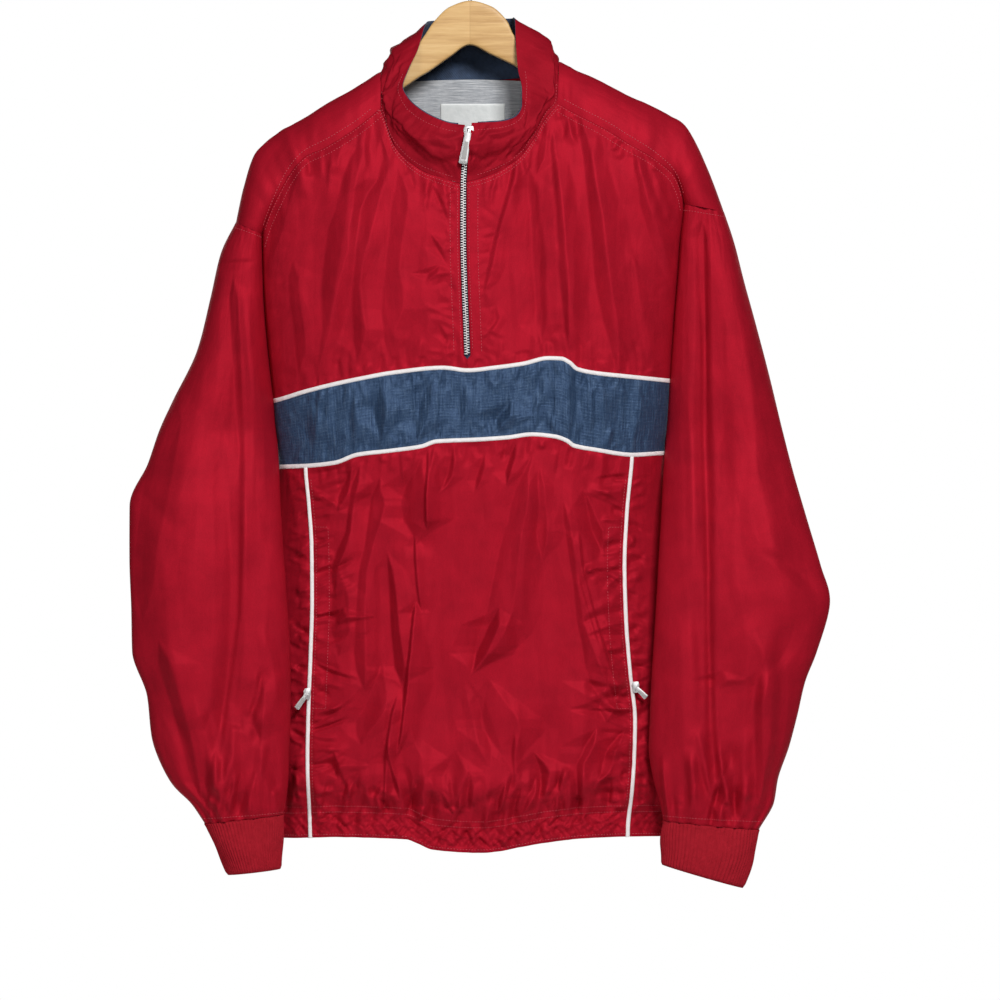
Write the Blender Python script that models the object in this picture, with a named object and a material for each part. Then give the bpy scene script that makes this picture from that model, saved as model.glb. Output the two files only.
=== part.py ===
"""A half-zip anorak pullover hanging on a wooden hanger.

Lengths are in millimetres until a mesh is made. x runs to the viewer's right, y runs into the
depth (the chest faces -y), and a drop is a distance straight down from the rail that the hook
hangs on, so the origin is the inside top of the hook and z = -drop.

Every cloth piece is a wall: a function of two parameters gives its outer side, the inner side
lies one wall thickness behind it, and rims close the edges.
"""

import bpy
import numpy as np

MM = 0.001

# Driving dimensions
WALL = 1.2  # shell cloth with its turnings
SEAM = 0.5  # clear gap between two sewn pieces
PIPING = 4.4  # width of the piping that shows
PIPING_RISE = 0.7  # how far it stands off the panels beside it
FACING_WALL = 1.0
FACING_GAP = 0.7  # from the collar's inside to its facing
ARMHOLE = 0.35  # gap on each side of the armhole seam
HEM_HEIGHT = 31.0  # elastic casing at the hem
GATHER_WAVE = 19.0  # spacing of the gathers over the hem
GATHER_DEPTH = 1.9
ZIP_SLOT = 6.6  # clear width between the two fold edges
ZIP_END = 425.0  # drop of the zip's bottom stop
CHAIN_WIDTH = 5.4
CHAIN_WALL = 1.3
TAPE_WIDTH = 17.0
CHAIN_BEHIND = 0.3  # from the cloth's outer face to the chain's
TAPE_BEHIND = 2.35  # from the cloth's outer face to the tape's
TAPE_WALL = 0.8
TAPE_BELOW = 6.0  # how far the tape runs on below the bottom stop
LINING_GAP = 2.0  # from the back panel to the jersey lining
COLLAR_TOP = 197.0  # drop of the collar's top edge at the zip
HOOK_WIRE = 2.0  # radius
HOOK_RADIUS = 22.0  # of the wire's centre line
HANGER_DEPTH = 7.0  # half the thickness of the wooden arms
CUFF_WALL = 2.2
LINING_WALL = 0.9  # the jersey at the back neck
LABEL_WALL = 0.6
LABEL_GAP = 0.4  # from the lining's inside to the label
SLEEVE_GATHER = 1.8  # height of the gathers above the cuffs
SIDES = ((-1, "left"), (1, "right"))


def table(columns, *rows):
    """Named columns from rows of numbers."""
    return dict(zip(columns.split(), np.array(rows, float).T))


def curve(knots, values):
    """A smooth function through the given knots that never overshoots them."""
    knots, values = np.asarray(knots, float), np.asarray(values, float)
    step = np.diff(knots)
    rise = np.diff(values) / step
    slope = np.zeros_like(values)
    same_way = rise[:-1] * rise[1:] > 0
    mean = 2 * rise[:-1] * rise[1:] / np.where(same_way, rise[:-1] + rise[1:], 1)
    slope[1:-1] = np.where(same_way, mean, 0)
    slope[0], slope[-1] = rise[0], rise[-1]

    def value(at):
        at = np.asarray(at, float)
        i = np.clip(np.searchsorted(knots, at) - 1, 0, len(step) - 1)
        s = np.clip((at - knots[i]) / step[i], 0, 1)
        start = (1 + 2 * s) * (1 - s) ** 2 * values[i] + s * (1 - s) ** 2 * step[i] * slope[i]
        end = s * s * (3 - 2 * s) * values[i + 1] + s * s * (s - 1) * step[i] * slope[i + 1]
        return start + end

    return value


def smooth(x, low, high):
    """0 below low, 1 above high, and a soft step between."""
    s = np.clip((x - low) / (high - low), 0, 1)
    return s * s * (3 - 2 * s)


# Seam lines on the front, as drops along x
NECK_LINE = table(
    "x drop",
    (-89, 178), (-84, 192), (-76, 214), (-66, 227), (-46, 242), (-24, 250), (-9.6, 254),
    (-3, 252.5), (14, 248), (32, 240), (50, 227), (62, 211), (76, 187), (87, 173),
)
BAND_TOP = table(
    "x drop",
    (-235, 474), (-196, 470), (-163, 461), (-134, 454), (-105, 448), (-77, 443), (-26, 438),
    (-2, 440.6), (24, 438), (53, 434), (78, 428.5), (91, 429), (99, 433), (106, 439),
    (124, 443), (153, 446), (198, 450), (235, 453),
)
BAND_BOTTOM = table(
    "x drop",
    (-235, 540), (-191, 536), (-163, 535), (-134, 532), (-111, 524), (-77, 520), (-48, 516),
    (-33, 511), (10, 509), (38, 507), (61, 504), (84, 506), (96, 510), (103, 515),
    (124, 519), (162, 524), (198, 522), (235, 522),
)
HEM_LINE = table(
    "x drop",
    (-240, 906), (-185, 906), (-127, 904), (-64, 905.5), (-51, 910), (-36, 916), (10, 919),
    (25, 918), (52, 913), (76, 909), (115, 905), (155, 904), (240, 906),
)
SIDE_PIPING = {
    -1: table("drop x", (490, -163), (536, -163), (571, -160), (616, -157), (670, -156.5),
              (723, -158), (775, -160), (825, -161), (875, -159.5), (925, -158)),
    1: table("drop x", (490, 162), (525, 161), (580, 156), (634, 153.5), (688, 155),
             (741, 159), (789, 164), (825, 163), (856, 161), (901, 157), (925, 158)),
}
ZIP_LINE = table("drop x", (190, -0.7), (222, -3.5), (254, -6.3), (300, -6.5), (426, -2.5),
                 (445, -2))

# The body's side edges: half width, and where the front and the back end in depth. Down to the
# pit the sleeve is joined on there; below it the front and the back meet at the side seam.
PIT = 499.0
BODY_EDGE = {
    -1: table(
        "drop x front_y back_y",
        (120, 66, -4, 6), (140, 94, -4, 6), (159, 124, -5, 7), (175, 152, -6, 8),
        (191, 178, -6, 8), (204, 197, -7, 9), (221, 207, -8, 10), (250, 208, -8, 10),
        (303, 208, -8, 10), (325, 207.6, -8, 10), (369, 206, -8, 9), (419, 202, -7.5, 8),
        (469, 196, -4, 6),
        (PIT, 193.5, 2, 2.4), (512, 191.5, 4, 4.4), (533, 191, 5, 5.4), (560, 193, 7, 7.4),
        (580, 198, 9, 9.4), (605, 206, 11, 11.4), (640, 216, 13, 13.4), (700, 225, 14, 14.4),
        (760, 230, 14, 14.4), (850, 229, 14, 14.4), (872, 225, 12, 12.4), (888, 216, 9, 9.4), (930, 214, 8, 8.4),
    ),
    1: table(
        "drop x front_y back_y",
        (115, 66, -4, 6), (127, 90, -4, 6), (140, 118, -5, 7), (152, 140, -6, 8),
        (166, 168, -6, 8), (181, 196, -7, 9), (193, 213, -8, 10), (230, 214.5, -8, 10),
        (273, 214, -8, 10), (309, 210, -8, 10), (349, 207, -8, 9), (394, 203.5, -7.8, 8.4),
        (444, 199.5, -6, 7),
        (PIT, 196, 2, 2.4), (512, 194, 4, 4.4), (533, 193.5, 5, 5.4), (560, 195, 7, 7.4),
        (580, 199, 9, 9.4), (605, 207, 11, 11.4), (640, 216, 13, 13.4), (700, 225, 14, 14.4),
        (760, 230, 14, 14.4), (850, 229, 14, 14.4), (872, 225, 12, 12.4), (888, 216, 9, 9.4), (930, 214, 8, 8.4),
    ),
}
# How far the middle of the front and the back stand off the hanger's plane
BODY_DEPTH = table(
    "drop front back",
    (120, 12, 30), (148, 18, 35), (178, 27, 40), (200, 33, 43), (225, 39, 45), (255, 46, 47),
    (300, 51, 49), (360, 55, 50), (450, 58, 50), (520, 60, 49), (620, 60, 48), (760, 60, 48),
    (830, 63, 51), (866, 67, 55), (930, 67, 55),
)

# The shoulder pieces: row by row from the neck to the armhole, where the front seam, the ridge
# over the hanger arm and the back seam lie. round goes from 0, flat on to its seams, to 1, a
# half tube; bulge is how far the half tube stands out.
SHOULDER = {
    -1: table(
        "front_x front_drop ridge_x ridge_drop back_x back_drop bulge round",
        (-89, 178, -89, 140, -80, 147, 0, 0),
        (-116, 200, -118, 159, -112, 187, 0, 0),
        (-145, 218, -147, 175, -142, 208, 0, 0),
        (-163, 226, -173, 191, -170, 226, 2, 0.1),
        (-179, 243, -195, 204, -190, 246, 6, 0.35),
        (-192, 266, -214, 221, -202, 268, 12, 0.7),
        (-202, 287, -226, 255, -206, 287, 17, 0.95),
        (-208, 303, -234, 291, -208, 303, 19, 1),
    ),
    1: table(
        "front_x front_drop ridge_x ridge_drop back_x back_drop bulge round",
        (87, 173, 89, 130, 80, 143, 0, 0),
        (106, 184, 106, 139, 105, 172, 0, 0),
        (133, 198, 134, 152, 133, 190, 0, 0),
        (159, 214, 164, 166.5, 160, 205, 2, 0.1),
        (185, 229, 194, 181, 186, 225, 6, 0.35),
        (203, 244, 214, 193.5, 203, 243, 12, 0.7),
        (210, 257, 236, 234, 210, 257, 17, 0.95),
        (214, 273, 254, 281, 214, 273, 19, 1),
    ),
}
# The sleeves: row by row from the armhole to the cuff. inner and outer are the two sides of the
# hanging tube, depth is its half depth, and the inner side is parted above the pit.
SLEEVE = {
    -1: table(
        "in_x in_drop out_x out_drop depth front_y back_y out_y",
        (-208, 303, -234, 291, 19, -8, 10, 0),
        (-207.6, 325, -249, 322, 21, -8, 10, 0),
        (-206, 369, -260, 369, 24, -8, 9, 0),
        (-202, 419, -272.6, 419, 27, -7.5, 8, -2),
        (-196, 469, -296.5, 469, 30, -4, 6, -5),
        (-193.5, 499, -310, 499, 31, 1.8, 2.2, -9),
        (-190.5, 533, -321.5, 533, 31, -12.2, -11.8, -14),
        (-188, 575, -339, 575, 30, -31.2, -30.8, -24),
        (-184, 629, -338.5, 629, 29, -42.2, -41.8, -34),
        (-180.5, 677, -336.5, 677, 29, -44.2, -43.8, -38),
        (-178, 719, -335.5, 719, 29, -45.2, -44.8, -40),
        (-177.5, 764, -320.5, 764, 29, -45.2, -44.8, -41),
        (-178.5, 804, -316, 804, 29, -45.2, -44.8, -42),
        (-180, 849, -297, 849, 28, -45.2, -44.8, -43),
        (-183, 871, -276, 871, 25, -45.2, -44.8, -44),
        (-185, 881, -263, 890, 22, -45.2, -44.8, -45),
    ),
    1: table(
        "in_x in_drop out_x out_drop depth front_y back_y out_y",
        (214, 273, 254, 281, 19, -8, 10, 0),
        (210, 309, 264, 311, 21, -8, 10, 0),
        (207, 349, 274, 350, 23, -8, 9, 0),
        (203.5, 394, 286, 394, 25, -7.8, 8.4, -1),
        (199.5, 444, 299, 444, 28, -6, 7, -3),
        (196, 499, 312, 499, 31, 1.8, 2.2, -9),
        (193, 539, 322, 539, 31, -14.2, -13.8, -15),
        (190, 589, 336, 589, 30, -33.2, -32.8, -26),
        (187, 634, 349, 634, 29, -42.2, -41.8, -34),
        (185, 669, 358, 669, 29, -44.2, -43.8, -38),
        (182, 719, 345, 719, 29, -45.2, -44.8, -40),
        (180, 750, 333, 750, 29, -45.2, -44.8, -41),
        (178.6, 784, 325, 784, 29, -45.2, -44.8, -42),
        (177.5, 814, 317, 814, 29, -45.2, -44.8, -42),
        (182, 846, 306, 846, 28, -45.2, -44.8, -43),
        (188.5, 869, 302, 869, 25, -45.2, -44.8, -44),
        (192, 887, 287, 896, 22, -45.2, -44.8, -45),
    ),
}
CUFF = {
    -1: table("in_x in_drop out_x out_drop depth y", (-185, 881.3, -263, 890.3, 22, -45),
              (-186, 908, -252, 916, 23, -45), (-187, 935, -241, 941, 22, -45)),
    1: table("in_x in_drop out_x out_drop depth y", (192, 887.3, 287, 896.3, 22, -45),
             (190, 909, 283, 924, 24, -45), (190, 931, 272, 954, 22, -45)),
}
# The collar, station by station from the zip's left edge round the back to its right edge: the
# seam that it stands on (on the front -1, over the ridge 0, on the back 1), its top edge, and
# how far it bows out between them.
COLLAR = table(
    "neck_x neck_drop place top_x top_drop top_y bow",
    (-9.6, 254, -1, -4.7, 197, -51, 1), (-24, 250, -1, -18, 195.5, -50, 1),
    (-46, 242, -1, -36, 189, -47, 2), (-66, 227, -1, -52, 179, -41, 2),
    (-76, 214, -1, -61, 170, -35, 3), (-84, 192, -1, -67, 157, -28, 3),
    (-89, 178, -1, -62, 141, -20, 3), (-89, 151, 0, -52, 119, -11, 3),
    (-89, 140, 0, -46, 97, -1, 4), (-85.5, 142.5, 0, -44, 91, 11, 5),
    (-80, 147, 1, -42, 89, 22, 6), (-52, 149, 1, -36, 88, 31, 4), (-26, 149, 1, -20, 87.5, 36, 3),
    (0, 148, 1, 0, 87.5, 38, 2), (26, 147, 1, 20, 86.5, 36, 3), (52, 145, 1, 37, 86, 31, 4),
    (80, 143, 1, 43, 86, 22, 6), (85.5, 134.5, 0, 44, 86, 11, 5), (89, 130, 0, 45, 88, 0, 6),
    (88, 143, 0, 46, 116, -14, 4), (87, 173, -1, 48, 140, -20, 3),
    (76, 187, -1, 52, 160, -28, 3), (62, 211, -1, 52, 176, -36, 2),
    (50, 227, -1, 46, 188, -43, 2), (32, 240, -1, 30, 193.5, -48, 1),
    (14, 248, -1, 14, 194.5, -50, 1),
    (-3, 252.5, -1, 1.9, 195, -51, 1),
)

# The wooden hanger's arms
HANGER = table(
    "x top bottom",
    (-204, 216, 222), (-199, 210.5, 219.5), (-173, 193, 210), (-147, 177, 199), (-118, 161, 186),
    (-101, 150.5, 177), (-89, 147, 172), (-66, 127, 157), (-50, 111, 146), (-43, 101, 142),
    (-37, 92, 138), (-20, 76, 126), (0, 70, 114), (20, 75, 123), (37, 90, 131), (43, 103, 134),
    (50, 112, 138), (66, 121, 146), (76, 130, 151), (88, 138, 157), (106, 141.2, 166),
    (134, 154.2, 178), (164, 168.7, 188), (194, 183.2, 198), (207, 191.5, 202),
)

# The largest folds: ridges (height above 0) and troughs that run down the cloth from one point
# to another, over a soft width on each side and with a sideways bow at the middle.
FOLD_COLUMNS = "x0 drop0 x1 drop1 left right height bow"
FRONT_FOLDS = table(
    FOLD_COLUMNS,
    (-114, 205, -150, 445, 16, 9, 6, 4),
    (-179, 344, -166, 452, 9, 9, 4, 0),
    (-141, 222, -141, 275, 8, 8, 3, 0),
    (-112, 300, -108, 430, 12, 14, 4, 3),
    (-84, 290, -80, 432, 10, 12, 3, -3),
    (-44, 275, -42, 425, 12, 10, 3, 2),
    (62, 240, 70, 414, 14, 10, -4, 3),
    (84, 238, 99, 425, 12, 16, 5, 4),
    (116, 198, 146, 442, 14, 10, 5, 5),
    (162, 221, 203, 368, 18, 11, 8, 6),
    (160, 313, 178, 442, 10, 12, 4, 0),
    (36, 300, 44, 425, 12, 12, -3, 0),
    (-113, 455, -115, 520, 10, 12, 3, 0),
    (-83, 450, -84, 515, 10, 10, 3, 0),
    (98, 430, 98, 512, 12, 5, 4, 0),
    (30, 446, 8, 494, 10, 10, 3, 0),
    (-42, 520, -44, 610, 12, 16, 6, 0),
    (-53, 616, -50, 676, 14, 12, 5, 0),
    (-57, 676, -76, 830, 18, 14, 6, 5),
    (-73, 764, -88, 860, 16, 18, 5, 0),
    (60, 528, -8, 745, 30, 22, 7, 8),
    (97, 560, 143, 776, 22, 12, 7, 6),
    (74, 780, 75, 866, 16, 16, -6, 0),
    (20, 760, 18, 868, 20, 22, 5, -4),
    (-120, 560, -122, 800, 16, 16, 4, 6),
    (120, 700, 112, 860, 14, 16, 5, -4),
)
BACK_FOLDS = table(
    FOLD_COLUMNS,
    (-120, 215, -150, 450, 14, 18, 6, 6),
    (-60, 230, -84, 520, 20, 16, 4, 4),
    (-10, 260, -2, 470, 22, 22, -4, 3),
    (60, 225, 92, 500, 16, 18, 5, 6),
    (125, 215, 168, 430, 16, 12, 7, 6),
    (-165, 470, -140, 700, 18, 14, 6, 8),
    (-70, 540, -96, 800, 22, 18, 6, 6),
    (10, 520, -24, 760, 26, 22, 6, 10),
    (80, 560, 128, 790, 20, 14, 7, 8),
    (40, 760, 52, 868, 18, 18, 6, 0),
    (-30, 780, -36, 868, 18, 18, 5, 0),
)
SLEEVE_FOLDS = {
    -1: table(
        FOLD_COLUMNS,
        (-234, 344, -239, 504, 10, 12, -4, 4),
        (-225, 373, -214, 567, 8, 14, 5, 3),
        (-262, 400, -300, 600, 16, 20, 4, 8),
        (-218, 607, -246, 840, 14, 12, -6, 6),
        (-197, 740, -215, 800, 10, 12, 5, 0),
        (-290, 600, -268, 780, 22, 16, 5, -8),
        (-300, 690, -262, 860, 18, 14, 4, 0),
    ),
    1: table(
        FOLD_COLUMNS,
        (232, 270, 236, 450, 10, 12, -5, 0),
        (236, 450, 237, 685, 10, 14, -6, 3),
        (237, 685, 252, 870, 12, 14, -6, 3),
        (262, 330, 286, 560, 18, 14, 5, 6),
        (210, 420, 212, 640, 10, 12, 4, 0),
        (300, 560, 322, 700, 20, 16, 5, -6),
        (282, 690, 300, 850, 18, 16, 5, 4),
        (208, 690, 214, 840, 12, 12, 5, 0),
    ),
}


def folds(x, drop, rows):
    """How far the folds of a table lift the cloth: soft ridges about slanted, bowed lines."""
    lift = np.zeros(np.broadcast(x, drop).shape)
    for i in range(len(rows["x0"])):
        start, end = rows["drop0"][i], rows["drop1"][i]
        along = (drop - start) / (end - start)
        lean = (rows["x1"][i] - rows["x0"][i]) / (end - start)
        line = rows["x0"][i] + lean * (drop - start) + rows["bow"][i] * np.sin(np.pi * along)
        off = (x - line) / np.sqrt(1 + lean**2)
        width = np.where(off < 0, rows["left"][i], rows["right"][i])
        ends = smooth(along, -0.12, 0.18) * (1 - smooth(along, 0.78, 1.12))
        lift += rows["height"][i] * ends * np.exp(-((off / width) ** 2))
    return lift


neck_drop = curve(NECK_LINE["x"], NECK_LINE["drop"])
band_top = curve(BAND_TOP["x"], BAND_TOP["drop"])
band_bottom = curve(BAND_BOTTOM["x"], BAND_BOTTOM["drop"])
hem_drop = curve(HEM_LINE["x"], HEM_LINE["drop"])
zip_x = curve(ZIP_LINE["drop"], ZIP_LINE["x"])
depth_front = curve(BODY_DEPTH["drop"], BODY_DEPTH["front"])
depth_back = curve(BODY_DEPTH["drop"], BODY_DEPTH["back"])
piping_x = {s: curve(t["drop"], t["x"]) for s, t in SIDE_PIPING.items()}
edge = {
    s: {name: curve(t["drop"], t[name]) for name in ("x", "front_y", "back_y")}
    for s, t in BODY_EDGE.items()
}


def dense_line(side, place, steps=160):
    """A shoulder piece's front or back seam as many points, in order of x."""
    x, drop = SHOULDER[side][f"{place}_x"], SHOULDER[side][f"{place}_drop"]
    number = np.arange(len(x))
    at = np.linspace(0, number[-1], steps)
    line = np.array([curve(number, x)(at), curve(number, drop)(at)])
    return line[:, ::-1] if side < 0 else line


SHOULDER_LINE = {side: dense_line(side, "front") for side in (-1, 1)}
BACK_LINE = {side: dense_line(side, "back") for side in (-1, 1)}


def below(line):
    """The line moved down by half a seam, measured square to the line where it is steep."""

    def drop(x):
        slope = (line(x + 0.5) - line(x - 0.5)) / 1.0
        return line(x) + SEAM / 2 * np.sqrt(1 + slope**2)

    return drop


def by_side(x, left, right):
    return np.where(x < 0, left, right)


def edge_value(name, x, drop):
    return by_side(x, edge[-1][name](drop), edge[1][name](drop))


def gathers(x, above_hem):
    """Waves that the hem's elastic draws up: full at its top seam, gone 75 mm above it."""
    rise = 1 - smooth(above_hem, HEM_HEIGHT + 6, HEM_HEIGHT + 48)
    depth = GATHER_DEPTH * rise * (0.6 + 0.4 * smooth(above_hem, 10, HEM_HEIGHT))
    phase = x / GATHER_WAVE + 0.35 * np.sin(x / 43) + 0.2 * np.sin(x / 17)
    return depth * np.sin(2 * np.pi * phase) * (1 + 0.35 * np.sin(x / 29))


def tuck(above_hem):
    """How far the hem's elastic pulls the cloth back in under the blousing."""
    return 15 * (1 - smooth(above_hem, HEM_HEIGHT - 5, HEM_HEIGHT + 15))


def body_profile(x, drop, depth, edge_y):
    """Across the body: edge_y at the side edges, depth in the middle, and round at the sides."""
    share = np.clip(np.abs(x) / edge_value("x", x, drop), 0, 1)
    power = 0.6 + 0.2 * smooth(drop, PIT, PIT + 130)
    round_off = (1 - share**3) ** power
    return edge_y + (depth - edge_y) * round_off, 1 - share**6


def sleeve_row(side, at):
    """The sleeve's columns at a row number, which may lie between two rows."""
    rows = SLEEVE[side]
    number = np.arange(len(rows["in_x"]))
    return {name: curve(number, column)(at) for name, column in rows.items()}


def front_y(x, drop):
    """Depth of the body's front, which faces -y."""
    above_hem = hem_drop(x) - drop
    base, inner = body_profile(x, drop, -depth_front(drop), edge_value("front_y", x, drop))
    lift = folds(x, drop, FRONT_FOLDS) + gathers(x, above_hem) - tuck(above_hem)
    zip_calm = 1 - np.exp(-((x / 14) ** 2)) * (1 - smooth(drop, 415, 440))
    return base - lift * inner * zip_calm


def back_y(x, drop):
    """Depth of the body's back, which faces +y."""
    above_hem = hem_drop(x) - drop
    base, inner = body_profile(x, drop, depth_back(drop), edge_value("back_y", x, drop))
    lift = folds(x, drop, BACK_FOLDS) + gathers(x + 7, above_hem) - tuck(above_hem)
    neck_calm = smooth(drop, 165, 215)
    return base + lift * inner * neck_calm


def arc(start, end, bulge, rounding, turn, out):
    """From a seam to a ridge. With rounding 0 it is a quarter ellipse that leaves the seam in
    the cloth's own plane; with 1 it is half an ellipse that stands bulge off the line."""
    flat, full = np.sin(turn * np.pi / 2), (1 - np.cos(np.pi * turn)) / 2
    across = (1 - rounding) * flat + rounding * full
    deep = (1 - rounding) * (1 - np.cos(turn * np.pi / 2)) + rounding * full
    x = start[0] + (end[0] - start[0]) * across
    drop = start[1] + (end[1] - start[1]) * across
    y = start[2] + (end[2] - start[2]) * deep + out * bulge * np.sin(np.pi * turn) * rounding
    return x, drop, y


def to_points(x, drop, y):
    x, drop, y = np.broadcast_arrays(x, drop, y)
    return np.stack([x, y, -drop], -1)


def panel(left, right, top, bottom, depth):
    """A piece of the front or the back: left and right are x along the drop, top and bottom
    are drops along x, and depth gives y."""

    def surface(u, v):
        x, drop = np.broadcast_arrays(200 * (u - 0.5), 500.0 + 0 * v)
        for _ in range(12):
            drop = top(x) * (1 - v) + bottom(x) * v
            x = left(drop) * (1 - u) + right(drop) * u
        return to_points(x, drop, depth(x, drop))

    return surface


def normals(surface, u, v, out=1):
    """Unit normals from small steps in both parameters, turned over where out is -1."""
    step = 1e-3
    across = surface(np.clip(u + step, 0, 1), v) - surface(np.clip(u - step, 0, 1), v)
    down = surface(u, np.clip(v + step, 0, 1)) - surface(u, np.clip(v - step, 0, 1))
    normal = np.cross(across, down) * out
    return normal / np.maximum(np.linalg.norm(normal, axis=-1, keepdims=True), 1e-9)


def stitch_rows(upper, lower, upper_u, lower_u):
    """Faces between two rows of points, which may have different counts."""
    faces, i, j = [], 0, 0
    last_i, last_j = len(upper) - 1, len(lower) - 1
    while i < last_i or j < last_j:
        next_i = upper_u[i + 1] if i < last_i else np.inf
        next_j = lower_u[j + 1] if j < last_j else np.inf
        if abs(next_i - next_j) < 1e-6:
            faces.append((upper[i], lower[j], lower[j + 1]))
            faces.append((upper[i], lower[j + 1], upper[i + 1]))
            i, j = i + 1, j + 1
        elif next_i < next_j:
            faces.append((upper[i], lower[j], upper[i + 1]))
            i += 1
        else:
            faces.append((upper[i], lower[j], lower[j + 1]))
            j += 1
    return faces


def facing_out(surface, rows, inside):
    """1 or -1, to turn the surface's normals away from the inside: a step from its middle."""
    u = np.concatenate([across for _, across in rows])
    v = np.concatenate([np.full(len(across), v) for v, across in rows])
    points = surface(u, v)
    centre = points.mean(axis=0) + np.array(inside, float)
    return 1 if np.sum(normals(surface, u, v) * (points - centre)) > 0 else -1


INTO_FRONT, INTO_BACK, WITHIN = (0, 90, 0), (0, -90, 0), (0, 0, 0)


def wall(name, surface, rows, thickness, colour, inside=INTO_FRONT, closed=False,
         finish=(0.5, 0.0), base=None):
    """A closed wall on a surface: rows is a list of (v, samples of u) and inside the step from
    its middle to the hollow that it encloses. The inner side lies behind the surface, or behind
    base where the outer side is raised off the cloth's own line."""
    base = base or surface
    out = facing_out(surface, rows, inside)
    outer, inner, samples = [], [], []
    for v, across in rows:
        across = np.asarray(across, float)
        along = np.full_like(across, v)
        points = surface(across, along)
        behind = base(across, along) - thickness * normals(base, across, along, out)
        if closed:
            points, behind = points[:-1], behind[:-1]
        outer.append(points)
        inner.append(behind)
        samples.append(across)
    sizes = [len(row) for row in outer]
    starts = np.concatenate([[0], np.cumsum(sizes)])[:-1]
    count = sum(sizes)
    faces = []
    numbers = []
    for start, size in zip(starts, sizes):
        row = list(range(start, start + size))
        numbers.append(row + [start] if closed else row)
    for k in range(len(rows) - 1):
        strip = stitch_rows(numbers[k], numbers[k + 1], samples[k], samples[k + 1])
        faces += strip
        faces += [tuple(count + i for i in reversed(face)) for face in strip]
    for row, turn in ((numbers[0], 1), (numbers[-1], -1)):
        rim = [(a, b, b + count, a + count) for a, b in zip(row[:-1], row[1:])]
        faces += rim if turn > 0 else [face[::-1] for face in rim]
    if not closed:
        for column, turn in (([r[0] for r in numbers], -1), ([r[-1] for r in numbers], 1)):
            rim = [(a, b, b + count, a + count) for a, b in zip(column[:-1], column[1:])]
            faces += rim if turn > 0 else [face[::-1] for face in rim]
    points = np.concatenate(outer + inner)
    return make_object(name, points, faces, colour, finish)


def make_object(name, points, faces, colour, finish=(0.5, 0.0)):
    """A named object from points in mm, with its faces turned outwards and its own material."""
    volume = 0.0
    for face in faces:
        for k in range(1, len(face) - 1):
            a, b, c = points[face[0]], points[face[k]], points[face[k + 1]]
            volume += np.dot(a, np.cross(b, c))
    if volume < 0:
        faces = [face[::-1] for face in faces]
    mesh = bpy.data.meshes.new(name)
    mesh.from_pydata([tuple(p) for p in points * MM], [], [tuple(map(int, f)) for f in faces])
    mesh.validate()
    item = bpy.data.objects.new(name, mesh)
    bpy.context.scene.collection.objects.link(item)
    paint(item, name, colour, finish)
    mesh.shade_smooth()
    mesh.set_sharp_from_angle(angle=np.radians(50))
    return item


def paint(item, name, colour, finish):
    material = bpy.data.materials.new(name)
    material.use_nodes = True
    shader = material.node_tree.nodes["Principled BSDF"]
    shader.inputs["Base Color"].default_value = (*colour, 1)
    shader.inputs["Roughness"].default_value = finish[0]
    shader.inputs["Metallic"].default_value = finish[1]
    item.data.materials.append(material)


RED = (0.40, 0.02, 0.035)
NAVY = (0.03, 0.06, 0.14)
DEEP_NAVY = (0.01, 0.025, 0.07)
WHITE = (0.78, 0.75, 0.74)
MARL = (0.42, 0.45, 0.5)
BRICK = (0.34, 0.02, 0.03)
WOOD = (0.72, 0.46, 0.2)
SILVER = (0.7, 0.7, 0.72)


def even(count):
    return np.linspace(0, 1, count + 1)


def still(value):
    """A straight line: the same x at each drop, or the same drop at each x."""
    return lambda at: 0 * at + value


def front_top(side):
    """The upper panel's top line: the shoulder seam, then the neck seam."""
    line = SHOULDER_LINE[side]
    peak = SHOULDER[side]["front_x"][0]

    def drop(x):
        on_shoulder = x < peak if side < 0 else x > peak
        return np.where(on_shoulder, np.interp(x, *line), neck_drop(x))

    return below(drop)


def zip_edge(drop):
    """Half the gap between the two upper panels: the zip's slot, then a plain seam."""
    slot = 1 - smooth(drop, ZIP_END, ZIP_END + 5)
    return SEAM / 2 + (ZIP_SLOT - SEAM) / 2 * slot


def body_side(side):
    """The body's own side edge, half a seam inside the armhole and side seam line."""
    return lambda drop: side * (edge[side]["x"](drop) - ARMHOLE)


def upper_side(side):
    """As body_side, but straight up from the end of the shoulder seam."""
    end = SHOULDER[side]["front_drop"][-1]
    return lambda drop: side * (edge[side]["x"](np.maximum(drop, end)) - ARMHOLE)


YOKE_LEVELS = np.linspace(0, 1, 9)
ON_LEFT = 7  # the collar's front stations left of the zip


def shoulder_x(side, place):
    """Where the shoulder piece's rows meet its front or back seam, from left to right."""
    column = SHOULDER[side][place]
    x = curve(np.arange(len(column)), column)(YOKE_LEVELS * (len(column) - 1))
    return x[::-1] if side < 0 else x


def columns_at(x, drop, left, right):
    """The u of a panel at which its columns pass through the given points."""
    u = (x - left(drop)) / (right(drop) - left(drop))
    u[0], u[-1] = 0, 1
    return u


def upper_front(side):
    """An upper panel's surface and columns: some meet the shoulder piece's rows."""

    def inner(drop):
        return zip_x(drop) + side * zip_edge(drop)

    def bottom(x):
        return band_top(x) - PIPING / 2 - SEAM

    outer = upper_side(side)
    left, right = (outer, inner) if side < 0 else (inner, outer)
    seam = shoulder_x(side, "front_x")
    neck = COLLAR["neck_x"][COLLAR["place"] < 0]
    neck = neck[:ON_LEFT][::-1] if side < 0 else neck[ON_LEFT:][::-1]
    x = np.concatenate([seam, neck[1:]] if side < 0 else [neck[:-1], seam])
    top = front_top(side)
    surface = panel(left, right, top, bottom, front_y)
    return surface, columns_at(x, top(x), left, right)


def x_at(surface, columns, v):
    return surface(columns, np.full_like(columns, v))[:, 0]


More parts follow.
